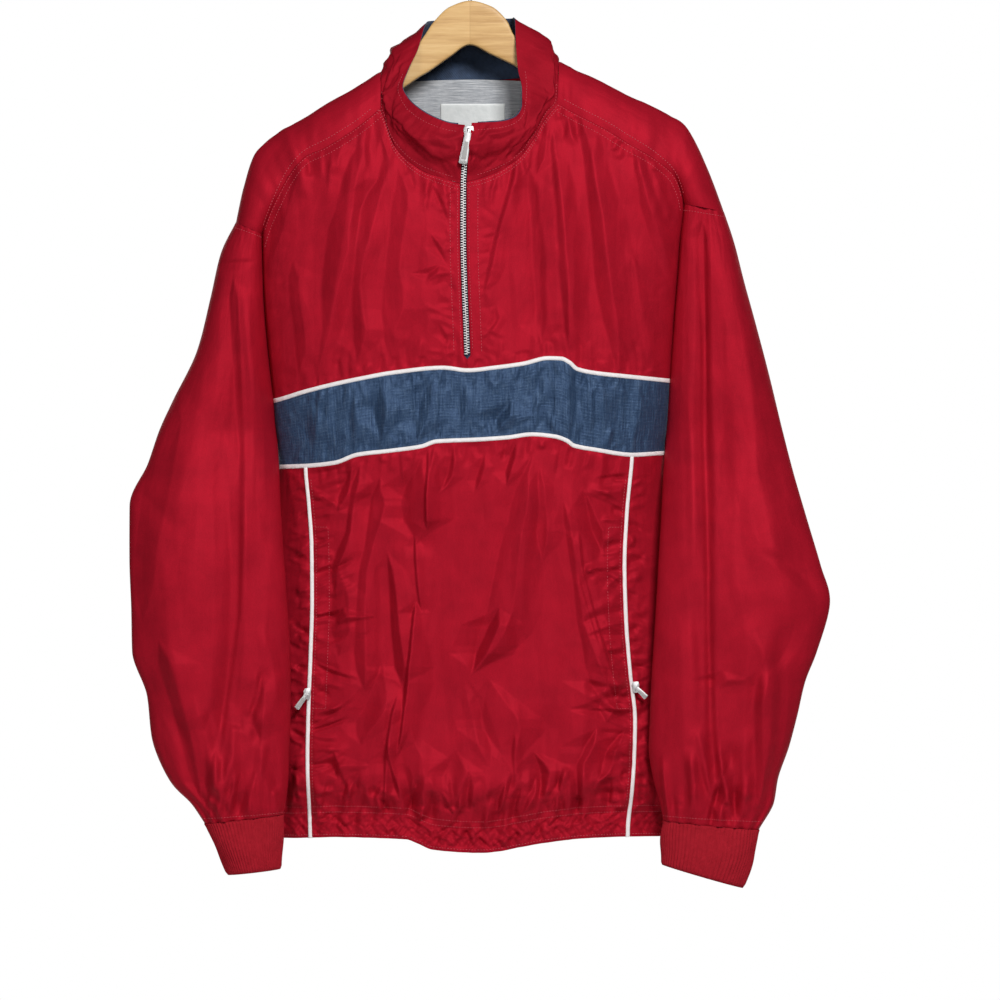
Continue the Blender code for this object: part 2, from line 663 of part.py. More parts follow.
def build_upper_fronts():
    for side, word in SIDES:
        surface, columns = upper_front(side)
        wall(f"front_upper_{word}", surface, [(v, columns) for v in even(12)], WALL, RED)


def across_body(x, line):
    """The u at which a strip from side edge to side edge passes through x on a line."""
    left, right = body_side(-1)(line(x)), body_side(1)(line(x))
    u = np.clip((x - left) / (right - left), 0, 1)
    u[0], u[-1] = 0, 1
    return u


def band_columns():
    """Columns of the band's top and bottom rows, in line with the panels that they meet."""
    upper = [x_at(*upper_front(side), 1.0) for side in (-1, 1)]
    top = across_body(np.concatenate([upper[0], upper[1][1:]]), band_top)
    lower = [x_at(*piece, 0.0) for piece in (side_front(-1), lower_front(), side_front(1))]
    bottom = np.concatenate([lower[0][:-1], lower[1], lower[2][1:]])
    return top, across_body(bottom, band_bottom)


def build_band():
    surface = panel(
        body_side(-1), body_side(1),
        lambda x: band_top(x) + PIPING / 2 + SEAM,
        lambda x: band_bottom(x) - PIPING / 2 - SEAM,
        front_y,
    )
    top, bottom = band_columns()
    rows = [(0, top), (0.3, top), (0.65, bottom), (1, bottom)]
    wall("chest_band", surface, rows, WALL, NAVY)
    for word, line, columns in (("top", band_top, top), ("bottom", band_bottom, bottom)):
        flat, raised = piping_across(line, 0), piping_across(line, PIPING_RISE)
        rows = [(v, columns) for v in (0, 1)]
        wall(f"piping_band_{word}", raised, rows, WALL, WHITE, base=flat)


def piping_across(line, rise):
    """Piping between the band and its neighbour: a strip along a seam line."""

    def surface(u, v):
        x = 200 * (2 * u - 1)
        for _ in range(6):
            drop = line(x) + (v - 0.5) * PIPING
            x = body_side(-1)(drop) * (1 - u) + body_side(1)(drop) * u
        return to_points(x, drop, front_y(x, drop) - rise)

    return surface


GATHERED_ABOVE = (HEM_HEIGHT + 14, HEM_HEIGHT - 4, 0.0)  # rows of narrow columns, over the hem
FRONT_TALL, SIDE_TALL, BACK_TALL = 395, 375, 770  # each panel's length down to the hem's edge


def lower_rows(plain_rows, plain_columns, gather_columns, tall):
    """Rows down to the hem: wide columns on the plain cloth, narrow ones in the gathers."""
    gathered_from = 1 - (HEM_HEIGHT + 42) / tall
    rows = [(v, plain_columns) for v in np.linspace(0, gathered_from, plain_rows)]
    return rows + [(1 - above / tall, even(gather_columns)) for above in GATHERED_ABOVE]


def beside_piping(side, inwards):
    """The edge of a panel beside the side piping: inwards is 1 on the body's middle. Its gap is
    a little wider than a seam, because the piping's edge steps sideways between its rows."""
    return lambda drop: piping_x[side](drop) - side * inwards * (PIPING / 2 + SEAM + 0.15)


def below_band(x):
    return band_bottom(x) + PIPING / 2 + SEAM


def lower_front():
    left, right = beside_piping(-1, 1), beside_piping(1, 1)
    return panel(left, right, below_band, hem_drop, front_y), even(17)


def side_front(side):
    inner, outer = beside_piping(side, -1), body_side(side)
    left, right = (outer, inner) if side < 0 else (inner, outer)
    return panel(left, right, below_band, hem_drop, front_y), even(4)


def build_lower_front():
    surface, columns = lower_front()
    wall("front_lower", surface, lower_rows(12, columns, 51, FRONT_TALL), WALL, RED)
    for side, word in SIDES:
        surface, columns = side_front(side)
        rows = lower_rows(12, columns, 12, SIDE_TALL)
        wall(f"side_front_{word}", surface, rows, WALL, RED)
        flat, raised = piping_down(side, 0), piping_down(side, PIPING_RISE)
        rows = [(v, even(1)) for v in even(24)]
        wall(f"piping_side_{word}", raised, rows, WALL, WHITE, base=flat)


def piping_down(side, rise):
    """Piping down a side-front seam, from the band to the hem's edge."""

    def surface(u, v):
        x = piping_x[side](700.0) + (u - 0.5) * PIPING
        for _ in range(6):
            drop = below_band(x) * (1 - v) + hem_drop(x) * v
            x = piping_x[side](drop) + (u - 0.5) * PIPING
        return to_points(x, drop, front_y(x, drop) - rise)

    return surface


def back_seams(x):
    """The shoulder pieces' back seams, with the neck seam between them."""
    on_neck = COLLAR["place"] > 0
    neck = np.array([COLLAR["neck_x"][on_neck], COLLAR["neck_drop"][on_neck]])
    line = np.concatenate([BACK_LINE[-1][:, :-1], neck, BACK_LINE[1][:, 1:]], axis=1)
    return np.interp(x, *line)


back_top = below(back_seams)
BACK_TOP_ROWS = (0, 0.03, 0.06, 0.09, 0.12, 0.155)  # closer together, over the jersey lining


def build_back():
    left, right = upper_side(-1), upper_side(1)
    surface = panel(left, right, back_top, hem_drop, back_y)
    neck = COLLAR["neck_x"][COLLAR["place"] > 0][1:-1]
    x = np.concatenate([shoulder_x(-1, "back_x"), neck, shoulder_x(1, "back_x")])
    columns = columns_at(x, back_top(x), left, right)
    rows = [(v, columns) for v in np.concatenate([BACK_TOP_ROWS, np.linspace(0.2, 0.9, 9)])]
    rows += [(1 - above / BACK_TALL, even(60)) for above in GATHERED_ABOVE]
    wall("back_panel", surface, rows, WALL, RED, INTO_BACK)


YOKE_CLEAR = {"seam": 0.008, "neck": 0.003, "armhole": 0.004}  # shares left clear at its edges


def build_shoulders():
    for side, word in SIDES:
        rows = SHOULDER[side]
        number = np.arange(len(rows["front_x"]))
        column = {name: curve(number, values) for name, values in rows.items()}
        surface = shoulder_surface(column, len(number) - 1)
        ahead = np.linspace(YOKE_CLEAR["seam"], 0.5, 7)
        samples = np.concatenate([ahead, 1 - ahead[-2::-1]])
        levels = np.clip(YOKE_LEVELS, YOKE_CLEAR["neck"], 1 - YOKE_CLEAR["armhole"])
        inwards = (-30 * side, 0, -90)
        wall(f"yoke_{word}", surface, [(v, samples) for v in levels], WALL, RED, inwards)


def shoulder_surface(column, last):
    """Over the hanger's arm: from the front seam (u 0) to the back seam, neck to armhole."""

    def surface(u, v):
        row = {name: values(v * last) for name, values in column.items()}
        ridge = (row["ridge_x"], row["ridge_drop"], 0)
        front = (row["front_x"], row["front_drop"], front_y(row["front_x"], row["front_drop"]))
        back = (row["back_x"], row["back_drop"], back_y(row["back_x"], row["back_drop"]))
        ahead = arc(front, ridge, row["bulge"], row["round"], np.clip(2 * u, 0, 1), -1)
        behind = arc(back, ridge, row["bulge"], row["round"], np.clip(2 - 2 * u, 0, 1), 1)
        return np.where((u <= 0.5)[..., None], to_points(*ahead), to_points(*behind))

    return surface


def sleeve_surface(side, half):
    """Half of a sleeve, from its inner side (u 0) over its front or back to its outer side."""
    out = -1 if half == "front" else 1
    last = len(SLEEVE[side]["in_x"]) - 1

    def surface(u, v):
        row = sleeve_row(side, v * last)
        inner = (row["in_x"] + side * ARMHOLE, row["in_drop"], row[f"{half}_y"])
        outer = (row["out_x"], row["out_drop"], row["out_y"])
        x, drop, y = arc(inner, outer, row["depth"], 1, u, out)
        lift = folds(x, drop, SLEEVE_FOLDS[side]) * (1 if half == "front" else 0.7)
        gather = smooth(v * last, last - 3.2, last - 0.6)
        waves = SLEEVE_GATHER * gather * np.sin(2 * np.pi * (8 * u + 0.12 * np.sin(9 * u)))
        calm = np.sin(np.pi * u) ** 0.7
        near_cuff = 1 - smooth(v * last, last - 1.5, last)
        shift = (lift * near_cuff + waves) * calm
        return to_points(x, drop, y + out * shift)

    return surface


SLEEVE_CLEAR = 0.003  # share of a half sleeve left clear at its top and at each of its sides
CUFF_CLEAR = 0.002  # and at the cuff
SLEEVE_JOINT = 0.0004  # half the clear gap between two stretches, as a share of the sleeve
STRETCHES = {"upper": (0, 5), "elbow": (5, 9), "lower": (9, None)}  # rows where each starts, ends
GATHER_LEVELS = (0.915, 0.958, 1.0)  # where the narrow columns of the gathers lie


def sleeve_levels(first, final, last):
    """Rows of one stretch: (v, whether it has the narrow columns of the gathers)."""
    plain = [(row / last, False) for row in range(first, min(final, last - 2) + 1)]
    gathered = [(v, True) for v in GATHER_LEVELS] if final == last else []
    low = SLEEVE_CLEAR if first == 0 else first / last + SLEEVE_JOINT
    high = 1 - CUFF_CLEAR if final == last else final / last - SLEEVE_JOINT
    return [(min(max(v, low), high), fine) for v, fine in plain + gathered]


def build_sleeves():
    """Each sleeve's front and back halves, in three stretches, and its cuff."""
    width = 1 - 2 * SLEEVE_CLEAR
    across = {fine: even(count) * width + SLEEVE_CLEAR for fine, count in ((0, 8), (1, 22))}
    for side, word in SIDES:
        last = len(SLEEVE[side]["in_x"]) - 1
        for half, inwards in (("front", INTO_FRONT), ("back", INTO_BACK)):
            surface = sleeve_surface(side, half)
            for stretch, (first, final) in STRETCHES.items():
                levels = sleeve_levels(first, final or last, last)
                rows = [(v, across[fine]) for v, fine in levels]
                wall(f"sleeve_{word}_{half}_{stretch}", surface, rows, WALL, RED, inwards)
        build_cuff(side, word)


def build_cuff(side, word):
    """A rib cuff: one flattened ring below the sleeve's end."""
    rows = CUFF[side]
    number = np.arange(len(rows["in_x"]))
    column = {name: curve(number, values) for name, values in rows.items()}

    def surface(u, v):
        row = {name: values(v * (len(number) - 1)) for name, values in column.items()}
        turn = 2 * np.pi * u
        share = (1 - np.cos(turn)) / 2
        x = row["in_x"] + (row["out_x"] - row["in_x"]) * share
        drop = row["in_drop"] + (row["out_drop"] - row["in_drop"]) * share
        return to_points(x, drop, row["y"] - row["depth"] * np.sin(turn))

    levels = [(v, even(32)) for v in even(3)]
    wall(f"cuff_{word}", surface, levels, CUFF_WALL, BRICK, WITHIN, closed=True, finish=(0.9, 0))


def neck_depth():
    """Depth of the neck seam at each station of the collar, on the cloth that it is sewn to."""
    x, drop, place = COLLAR["neck_x"], COLLAR["neck_drop"], COLLAR["place"]
    depth = np.where(place < 0, front_y(x, drop), back_y(x, drop))
    for i in np.flatnonzero(place == 0):
        rows = SHOULDER[-1 if x[i] < 0 else 1]
        ridge = rows["ridge_drop"][0]
        end = "front" if drop[i] > ridge and i in FRONT_OF_RIDGE else "back"
        seam_x, seam_drop = rows[f"{end}_x"][0], rows[f"{end}_drop"][0]
        seam_y = (front_y if end == "front" else back_y)(seam_x, seam_drop)
        turn = np.arcsin(np.clip((seam_drop - drop[i]) / (seam_drop - ridge), 0, 1))
        depth[i] = seam_y * np.cos(turn)
    return depth


FRONT_OF_RIDGE = (7, 19)  # the stations between the front seam and the ridge


def collar_surface(inset=0.0, low=0.0, high=1.0):
    """The collar between its seam and its top edge, moved in towards the neck by inset."""
    last = len(COLLAR["neck_x"]) - 1
    column = {name: curve(np.arange(last + 1), values) for name, values in COLLAR.items()}
    column["neck_y"] = curve(np.arange(last + 1), neck_depth())

    def middle(u, v):
        row = {name: values(u * last) for name, values in column.items()}
        v = low + (high - low) * v
        x = row["neck_x"] * (1 - v) + row["top_x"] * v
        drop = row["neck_drop"] * (1 - v) + row["top_drop"] * v
        y = row["neck_y"] * (1 - v) + row["top_y"] * v
        bow = row["bow"] * 4 * v * (1 - v)
        reach = np.hypot(row["neck_x"], row["neck_y"])
        return to_points(x + bow * row["neck_x"] / reach, drop, y + bow * row["neck_y"] / reach)

    def surface(u, v):
        points = middle(u, v)
        if not inset:
            return points
        return points - inset * normals(middle, u, v, COLLAR_OUT)

    return surface


COLLAR_OUT = -1  # which way its surface parameters make its outer side face


def build_collar():
    """The stand collar, and the facing that lines it."""
    across = even(len(COLLAR["neck_x"]) - 1)
    rows = [(v, across) for v in even(4)]
    wall("collar", collar_surface(low=0.018), rows, WALL, RED, WITHIN)
    inset = WALL + FACING_GAP
    across[0], across[-1] = 0.028, 0.97  # the zip's tape lies between collar and facing
    facing = collar_surface(inset, low=0.018)
    wall("collar_facing", facing, rows, FACING_WALL, DEEP_NAVY, WITHIN)


def build_neck_lining():
    """Jersey lining at the back neck, just inside the back, with the label on it."""

    def inside(x, drop):
        return back_y(x, drop) - WALL - LINING_GAP

    def top(x):
        return 151.5 + 4 * (x / 80) ** 2

    def bottom(x):
        return 262 - 18 * (x / 86) ** 2

    def label_y(x, drop):
        return inside(x, drop) - LINING_WALL - LABEL_GAP

    lining = panel(still(-76), still(76), top, bottom, inside)
    wall("neck_lining", lining, [(v, even(16)) for v in even(9)], LINING_WALL, MARL, INTO_BACK)
    label = panel(still(-30), still(35), still(171), still(211), label_y)
    wall("neck_label", label, [(v, even(5)) for v in even(3)], LABEL_WALL, WHITE, INTO_BACK)


def zip_front(drop):
    """Depth of the cloth's outer face along the zip: the collar's front, then the chest."""
    v = np.clip((253 - drop) / (253 - COLLAR_TOP), 0, 1)
    on_collar = front_y(-6.0, 253.0) * (1 - v) - 51 * v - 4 * v * (1 - v)
    blend = smooth(drop, 250, 258)
    return on_collar * (1 - blend) + front_y(zip_x(drop) * 0, drop) * blend


def build_zip():
    """The zip's tape behind the slot, and the closed chain of teeth as a plain bar on it."""

    def strip(width, end, behind):
        def surface(u, v):
            drop = (COLLAR_TOP + 1.5) * (1 - v) + end * v
            x = zip_x(drop) + (u - 0.5) * width
            return to_points(x, drop, zip_front(drop) + behind)

        return surface

    tape = strip(TAPE_WIDTH, ZIP_END + TAPE_BELOW, TAPE_BEHIND)
    wall("zip_tape", tape, [(v, even(4)) for v in even(20)], TAPE_WALL, DEEP_NAVY)
    chain = strip(CHAIN_WIDTH, ZIP_END, CHAIN_BEHIND)
    rows = [(v, even(2)) for v in even(20)][1:]
    wall("zip_chain", chain, rows, CHAIN_WALL, SILVER, finish=(0.4, 0.8))


def box_object(name, corners, bevel, colour, finish):
    """A block from its lowest and highest corners, with rounded edges."""
    low, high = (np.array(c, float) for c in corners)
    points = np.array([[(low, high)[(k >> axis) & 1][axis] for axis in range(3)] for k in range(8)])
    faces = [(0, 2, 3, 1), (4, 5, 7, 6), (0, 1, 5, 4), (2, 6, 7, 3), (0, 4, 6, 2), (1, 3, 7, 5)]
    item = make_object(name, points, faces, colour, finish)
    rounding = item.modifiers.new("Bevel", "BEVEL")
    rounding.width = bevel * MM
    rounding.segments = 2
    return item


METAL = (0.3, 1.0)


def slab(name, top, tip, wide_top, wide_tip, y_back, thick, colour):
    """A flat pull tab in the cloth's plane from its top to its tip, with a rounded end."""
    top, tip = np.array(top, float), np.array(tip, float)
    along = (tip - top) / np.linalg.norm(tip - top)
    side = np.array([-along[1], along[0]])
    turn = np.linspace(0, np.pi, 7)
    end = [tip + (side * np.cos(t) + along * np.sin(t)) * wide_tip / 2 for t in turn]
    outline = [top + side * wide_top / 2] + end + [top - side * wide_top / 2]
    count = len(outline)
    points = np.array([(x, y, -d) for y in (y_back, y_back - thick) for x, d in outline])
    faces = [tuple(range(count))[::-1], tuple(range(count, 2 * count))]
    faces += [(k, (k + 1) % count, (k + 1) % count + count, k + count) for k in range(count)]
    return make_object(name, points, faces, colour, METAL)


SLIDER_TALL = 3.4  # how far a slider stands off the cloth
SLIDER_SEAT = 0.45  # between a pocket's slider and its piping
TAB_GAP = 0.3  # between a slider and the tab that hangs before it
TAB_WALL = 1.6
POCKET_TAB_WALL = 1.4
POCKET_SLIDER = (3.2, 6.0, 5.0)  # half its width, and its reach above and below the tab's top
# The zip's slider, and where each tab hangs from and ends, as x and drop
SLIDER = {"left": -6.2, "right": 4.2, "top": 198.5, "bottom": 211.5}
ZIP_TAB = ((-1.5, 205), (-6.2, 232))
POCKET_TAB = {-1: ((-162, 762), (-170.5, 774)), 1: ((165.5, 755.5), (173.5, 763.5))}


def build_hardware():
    """The zip's slider and tab, and a slider and tab at the end of each pocket's zip."""
    stations = np.array([SLIDER["top"], ZIP_TAB[0][1], SLIDER["bottom"]])
    face = float(np.min(zip_front(stations))) - SEAM
    low = (SLIDER["left"], face - SLIDER_TALL, -SLIDER["bottom"])
    high = (SLIDER["right"], face, -SLIDER["top"])
    box_object("zip_slider", (low, high), 1.2, SILVER, METAL)
    slab("zip_pull", *ZIP_TAB, 5, 7.5, face - SLIDER_TALL - TAB_GAP, TAB_WALL, SILVER)
    proud = PIPING_RISE + SLIDER_SEAT + SLIDER_TALL

    def slider_face(x, drop):
        return front_y(x, drop) - proud

    half, above, below_top = POCKET_SLIDER
    for side, word in SIDES:
        top, tip = POCKET_TAB[side]
        x, drop = float(top[0]), float(top[1])
        slider = panel(
            still(x - half), still(x + half), still(drop - above), still(drop + below_top),
            slider_face,
        )
        wall(f"pocket_slider_{word}", slider, [(v, even(2)) for v in even(2)], SLIDER_TALL,
             SILVER, finish=METAL)
        reach = np.array([[x - 2.5, x, x + 2.5], [drop - 1, drop + 2, drop + 5]])
        before = float(np.min(slider_face(*np.meshgrid(*reach)))) - TAB_GAP
        slab(f"pocket_pull_{word}", top, tip, 4, 5.5, before, POCKET_TAB_WALL, SILVER)


def build_hanger():
    """The wooden arms: a rounded section carried along x, closed at both ends."""
    x = HANGER["x"]
    top, bottom = curve(x, HANGER["top"]), curve(x, HANGER["bottom"])

    def surface(u, v):
        along = x[0] + (x[-1] - x[0]) * v
        turn = 2 * np.pi * u
        upper, lower = top(along), bottom(along)
        half = HANGER_DEPTH * (0.45 + 0.55 * smooth(207 - np.abs(along), 0, 18))
        side = np.sign(np.sin(turn)) * np.abs(np.sin(turn)) ** 0.8
        drop = (upper + lower) / 2 - (lower - upper) / 2 * np.cos(turn)
        return to_points(along, drop, half * side)

    rows = [surface(even(12)[:-1], np.full(12, v)) for v in even(24)]
    count = len(rows[0])
    points = np.concatenate(rows)
    faces = []
    for k in range(len(rows) - 1):
        for i in range(count):
            a, b = k * count + i, k * count + (i + 1) % count
            faces.append((a, b, b + count, a + count))
    last = (len(rows) - 1) * count
    faces += [tuple(range(count))[::-1], tuple(range(last, last + count))]
    make_object("hanger_bar", points, faces, WOOD)
    build_hook(top(0.0))


def build_hook(crown_drop):
    """Round wire: up from the hanger's crown, round to the right, over and down to the left."""
    centre = HOOK_WIRE - HOOK_RADIUS
    stem = [(0, -float(crown_drop) + 0.3), (0, -62), (0, -56), (2.5, -49.5), (8, -43.5)]
    turn = np.radians(np.linspace(-52, 205, 26))
    ring = [(HOOK_RADIUS * np.cos(t), centre + HOOK_RADIUS * np.sin(t)) for t in turn]
    path = stem + ring
    line = bpy.data.curves.new("hanger_hook", "CURVE")
    line.dimensions = "3D"
    line.bevel_depth = HOOK_WIRE * MM
    line.bevel_resolution = 2
    line.use_fill_caps = True
    spline = line.splines.new("POLY")
    spline.points.add(len(path) - 1)
    for point, (px, pz) in zip(spline.points, path):
        point.co = (px * MM, 0, pz * MM, 1)
    item = bpy.data.objects.new("hanger_hook", line)
    bpy.context.scene.collection.objects.link(item)
    paint(item, "hanger_hook", SILVER, METAL)


def main():
    for item in list(bpy.data.objects):
        bpy.data.objects.remove(item)
    build_upper_fronts()
    build_band()
    build_lower_front()
    build_back()
    build_shoulders()
    build_sleeves()
    build_collar()
    build_neck_lining()
    build_zip()
    build_hardware()
    build_hanger()


main()
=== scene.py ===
# %% [markdown]
# # An anorak pullover on its hanger
#
# The real thing is a shell of thin satin nylon, sewn from about twenty pieces. It hangs from a
# wooden hanger and keeps the folds that its own weight gives it. Here each sewn piece is one
# surface: a function of two parameters, worked out on a fine grid. The main folds are written
# as tables, so each can be read, moved or taken out by hand; the short ones between them are
# drawn from seeded generators.
#
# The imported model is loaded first. Each new piece stands where one of its solids stands.

import bpy
import numpy as np
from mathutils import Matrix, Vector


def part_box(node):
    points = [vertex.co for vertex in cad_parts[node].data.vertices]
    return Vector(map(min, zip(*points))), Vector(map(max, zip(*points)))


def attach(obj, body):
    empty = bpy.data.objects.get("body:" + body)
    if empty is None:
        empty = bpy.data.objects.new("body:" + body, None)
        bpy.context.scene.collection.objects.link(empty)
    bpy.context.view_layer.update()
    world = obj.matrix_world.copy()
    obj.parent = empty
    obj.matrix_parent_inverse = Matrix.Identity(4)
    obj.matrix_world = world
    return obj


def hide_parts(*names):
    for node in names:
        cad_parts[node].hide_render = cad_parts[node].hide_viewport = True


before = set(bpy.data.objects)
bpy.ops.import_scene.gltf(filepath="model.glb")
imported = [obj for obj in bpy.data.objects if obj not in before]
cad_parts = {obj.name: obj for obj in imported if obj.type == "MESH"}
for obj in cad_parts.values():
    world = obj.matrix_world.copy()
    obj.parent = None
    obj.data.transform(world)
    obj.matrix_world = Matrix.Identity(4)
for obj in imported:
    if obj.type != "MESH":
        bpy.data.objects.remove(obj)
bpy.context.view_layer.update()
MM = 0.001
print("solids in the frame:", len(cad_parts))

# %% [markdown]
# ## Camera, light and floor
#
# A long lens keeps the garment's outline square on, as in a catalogue picture: 1 mm on the
# hanger's plane is then one pixel of a 1000 pixel image. Folds show best in light that grazes
# them. So a small strong key light hangs high in front on the right, a tall weak soft box stands
# on the left, and a small weak one near the camera fills the shadows. Two large boxes light the
# back. The sky is white where the camera sees it and much dimmer as a light.


# %% Camera
AIM = (0.030, 0.0, -0.569)
DISTANCE = 6.0
SENSOR = 36.0

camera = bpy.data.cameras.new("studio_camera")
camera.sensor_width = SENSOR
camera.lens = SENSOR * DISTANCE
camera.clip_end = 60.0
camera_object = bpy.data.objects.new("studio_camera", camera)
camera_object.location = (AIM[0], AIM[1] - DISTANCE, AIM[2])
camera_object.rotation_euler = (np.pi / 2, 0, 0)
bpy.context.scene.collection.objects.link(camera_object)
bpy.context.scene.camera = camera_object
print("lens", camera.lens, "mm at", DISTANCE, "m")

# %% Soft boxes, sky and floor
SOFT_BOXES = {  # name: (place, what it aims at, width, height, watts)
    "key": ((0.85, -2.7, 1.25), (0, 0, -0.5), 0.95, 0.95, 89.0),
    "side_left": ((-2.2, -2.2, 0.0), (0, 0, -0.55), 0.5, 1.8, 15.0),
    "front_fill": ((-0.2, -3.9, -0.1), (0, 0, -0.5), 0.8, 0.8, 10.0),
    "back_left": ((-0.9, 3.0, -0.4), (0, 0, -0.55), 2.4, 2.4, 36.0),
    "back_right": ((1.1, 2.9, -0.5), (0, 0, -0.6), 2.0, 2.4, 24.0),
}
FLOOR_DROP = 1.36
FLOOR_RADIUS = 1.8
SKY_AS_LIGHT = 0.07  # its strength for every ray that doesn't come from the camera


def aim_at(item, target):
    """Turns an object so that its -Z points at the target, with its Y upright."""
    offset = np.array(target, float) - np.array(item.location)
    sideways = np.hypot(offset[0], offset[1])
    item.rotation_euler = (np.arctan2(sideways, -offset[2]), 0, np.arctan2(-offset[0], offset[1]))


for name, (place, target, width, height, watts) in SOFT_BOXES.items():
    light = bpy.data.lights.new(name, "AREA")
    light.shape = "RECTANGLE"
    light.size, light.size_y, light.energy = width, height, watts
    lamp = bpy.data.objects.new(name, light)
    lamp.location = place
    aim_at(lamp, target)
    bpy.context.scene.collection.objects.link(lamp)

world = bpy.data.worlds.new("white_room")
bpy.context.scene.world = world
world.use_nodes = True
sky = world.node_tree.nodes["Background"]
seen = world.node_tree.nodes.new("ShaderNodeLightPath")
strength = world.node_tree.nodes.new("ShaderNodeMapRange")
strength.inputs["To Min"].default_value = SKY_AS_LIGHT
strength.inputs["To Max"].default_value = 1.0
sky.inputs["Color"].default_value = (1, 1, 1, 1)
world.node_tree.links.new(seen.outputs["Is Camera Ray"], strength.inputs["Value"])
world.node_tree.links.new(strength.outputs["Result"], sky.inputs["Strength"])
bpy.context.scene.view_settings.view_transform = "Standard"
print("soft boxes:", ", ".join(SOFT_BOXES))

# %% [markdown]
# ## From a formula to a mesh
#
# Blender could make cloth with modifiers or a simulation. A grid of points from a formula is
# simpler to steer here, because the folds of this garment are known one by one. Lengths in the
# formulas are millimetres, x to the right, y into the depth and drop straight down from the
# hook's rail. They become metres only when they go into a mesh.


# %% Tables, curves and soft steps
def table(columns, *rows):
    """Named columns from rows of numbers."""
    return dict(zip(columns.split(), np.array(rows, float).T))


def curve(knots, values):
    """A smooth function through knots: cubic pieces whose slope at a knot is the harmonic mean
    of the slopes beside it, or nothing at a peak, so it never overshoots."""
    knots, values = np.asarray(knots, float), np.asarray(values, float)
    step = np.diff(knots)
    rise = np.diff(values) / step
    slope = np.zeros_like(values)
    same_way = rise[:-1] * rise[1:] > 0
    mean = 2 * rise[:-1] * rise[1:] / np.where(same_way, rise[:-1] + rise[1:], 1)
    slope[1:-1] = np.where(same_way, mean, 0)
    slope[0], slope[-1] = rise[0], rise[-1]

    def value(at):
        at = np.asarray(at, float)
        i = np.clip(np.searchsorted(knots, at) - 1, 0, len(step) - 1)
        s = np.clip((at - knots[i]) / step[i], 0, 1)
        start = (1 + 2 * s) * (1 - s) ** 2 * values[i] + s * (1 - s) ** 2 * step[i] * slope[i]
        end = s * s * (3 - 2 * s) * values[i + 1] + s * s * (s - 1) * step[i] * slope[i + 1]
        return start + end

    return value


def smooth(x, low, high):
    """0 below low, 1 above high, and s*s*(3 - 2s) between."""
    s = np.clip((x - low) / (high - low), 0, 1)
    return s * s * (3 - 2 * s)


def bump_at(distance, width):
    """A crease's profile: 1 on its line, straight flanks down to 0 at 1.6 widths. Both tip and
    feet are rounded off as sqrt(t squared + r squared), so stiff cloth keeps its flat facets."""
    feet, rounding, lowered = 1.6, 0.004, 0.063
    away = np.abs(distance) / (feet * width)
    tip = 1 - (np.sqrt(away**2 + rounding) - lowered)
    return (tip + np.sqrt(tip**2 + rounding)) / 2


print("a soft step at its middle:", float(smooth(0.5, 0, 1)))

# %% Meshes from grids
GARMENT = "garment"


def to_points(x, drop, y):
    """Points (x, y, -drop) in millimetres from arrays of any matching shapes."""
    x, drop, y = np.broadcast_arrays(x, drop, y)
    return np.stack([x, y, -drop], -1)


def grid_normals(points):
    """Unit normals of a grid: the cross product of its central differences both ways."""
    normal = np.cross(np.gradient(points, axis=1), np.gradient(points, axis=0))
    return normal / np.maximum(np.linalg.norm(normal, axis=-1, keepdims=True), 1e-9)


def placed(name, mesh, material, body=GARMENT):
    """A mesh becomes an object at the origin, in its material, that rides on a body."""
    mesh.materials.append(material)
    item = bpy.data.objects.new(name, mesh)
    bpy.context.scene.collection.objects.link(item)
    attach(item, body)
    return item


def mesh_object(name, points, faces, material, uv=None, smooth_faces=True):
    """Points in millimetres and faces with equal numbers of corners become an object."""
    mesh = bpy.data.meshes.new(name)
    mesh.from_pydata(points * MM, [], faces.tolist())
    if uv is not None:
        layer = mesh.uv_layers.new(name="cloth")
        layer.uv.foreach_set("vector", uv[faces.ravel()].ravel())
    mesh.polygons.foreach_set("use_smooth", np.full(len(faces), smooth_faces))
    mesh.update()
    return placed(name, mesh, material)


def grid_faces(rows, columns, closed=False):
    """Quads between neighbouring grid points; a closed grid's last column meets its first."""
    across = np.arange(columns if closed else columns - 1)
    a = (np.arange(rows - 1)[:, None] * columns + across).ravel()
    b = (np.arange(rows - 1)[:, None] * columns + (across + 1) % columns).ravel()
    return np.stack([a, b, b + columns, a + columns], -1)


def grid_object(name, points, material, outwards, wall=0.0, closed=False):
    """A cloth from a grid of rows. outwards is the direction its face looks in, or None where it
    faces away from the middle of each row; its back lies wall behind it. Its UV map is the
    distance along the cloth, in metres."""
    normal = grid_normals(points)
    ray = points - points.mean(axis=1, keepdims=True) if outwards is None else outwards
    if np.sum(normal * ray) < 0:
        points = points[:, ::-1]
    step_u = np.linalg.norm(np.diff(points, axis=1), axis=-1).mean(axis=0)
    step_v = np.linalg.norm(np.diff(points, axis=0), axis=-1).mean(axis=1)
    u = np.concatenate([[0], np.cumsum(step_u)]) * MM
    v = np.concatenate([[0], np.cumsum(step_v)]) * MM
    uv = np.stack(np.meshgrid(u, -v), -1)
    if closed:
        points, uv = points[:, :-1], uv[:, :-1]
    rows, columns = points.shape[:2]
    faces = grid_faces(rows, columns, closed)
    item = mesh_object(name, points.reshape(-1, 3), faces, material, uv.reshape(-1, 2))
    if wall:
        thickness = item.modifiers.new("Wall", "SOLIDIFY")
        thickness.thickness = wall * MM
        thickness.offset = -1
    return item


def spread(low, high, step):
    """Even samples from low to high, about step apart."""
    return np.linspace(low, high, max(2, int(round(abs(high - low) / step)) + 1))


print("a grid of 3 x 4 points has", len(grid_faces(3, 4)), "faces")

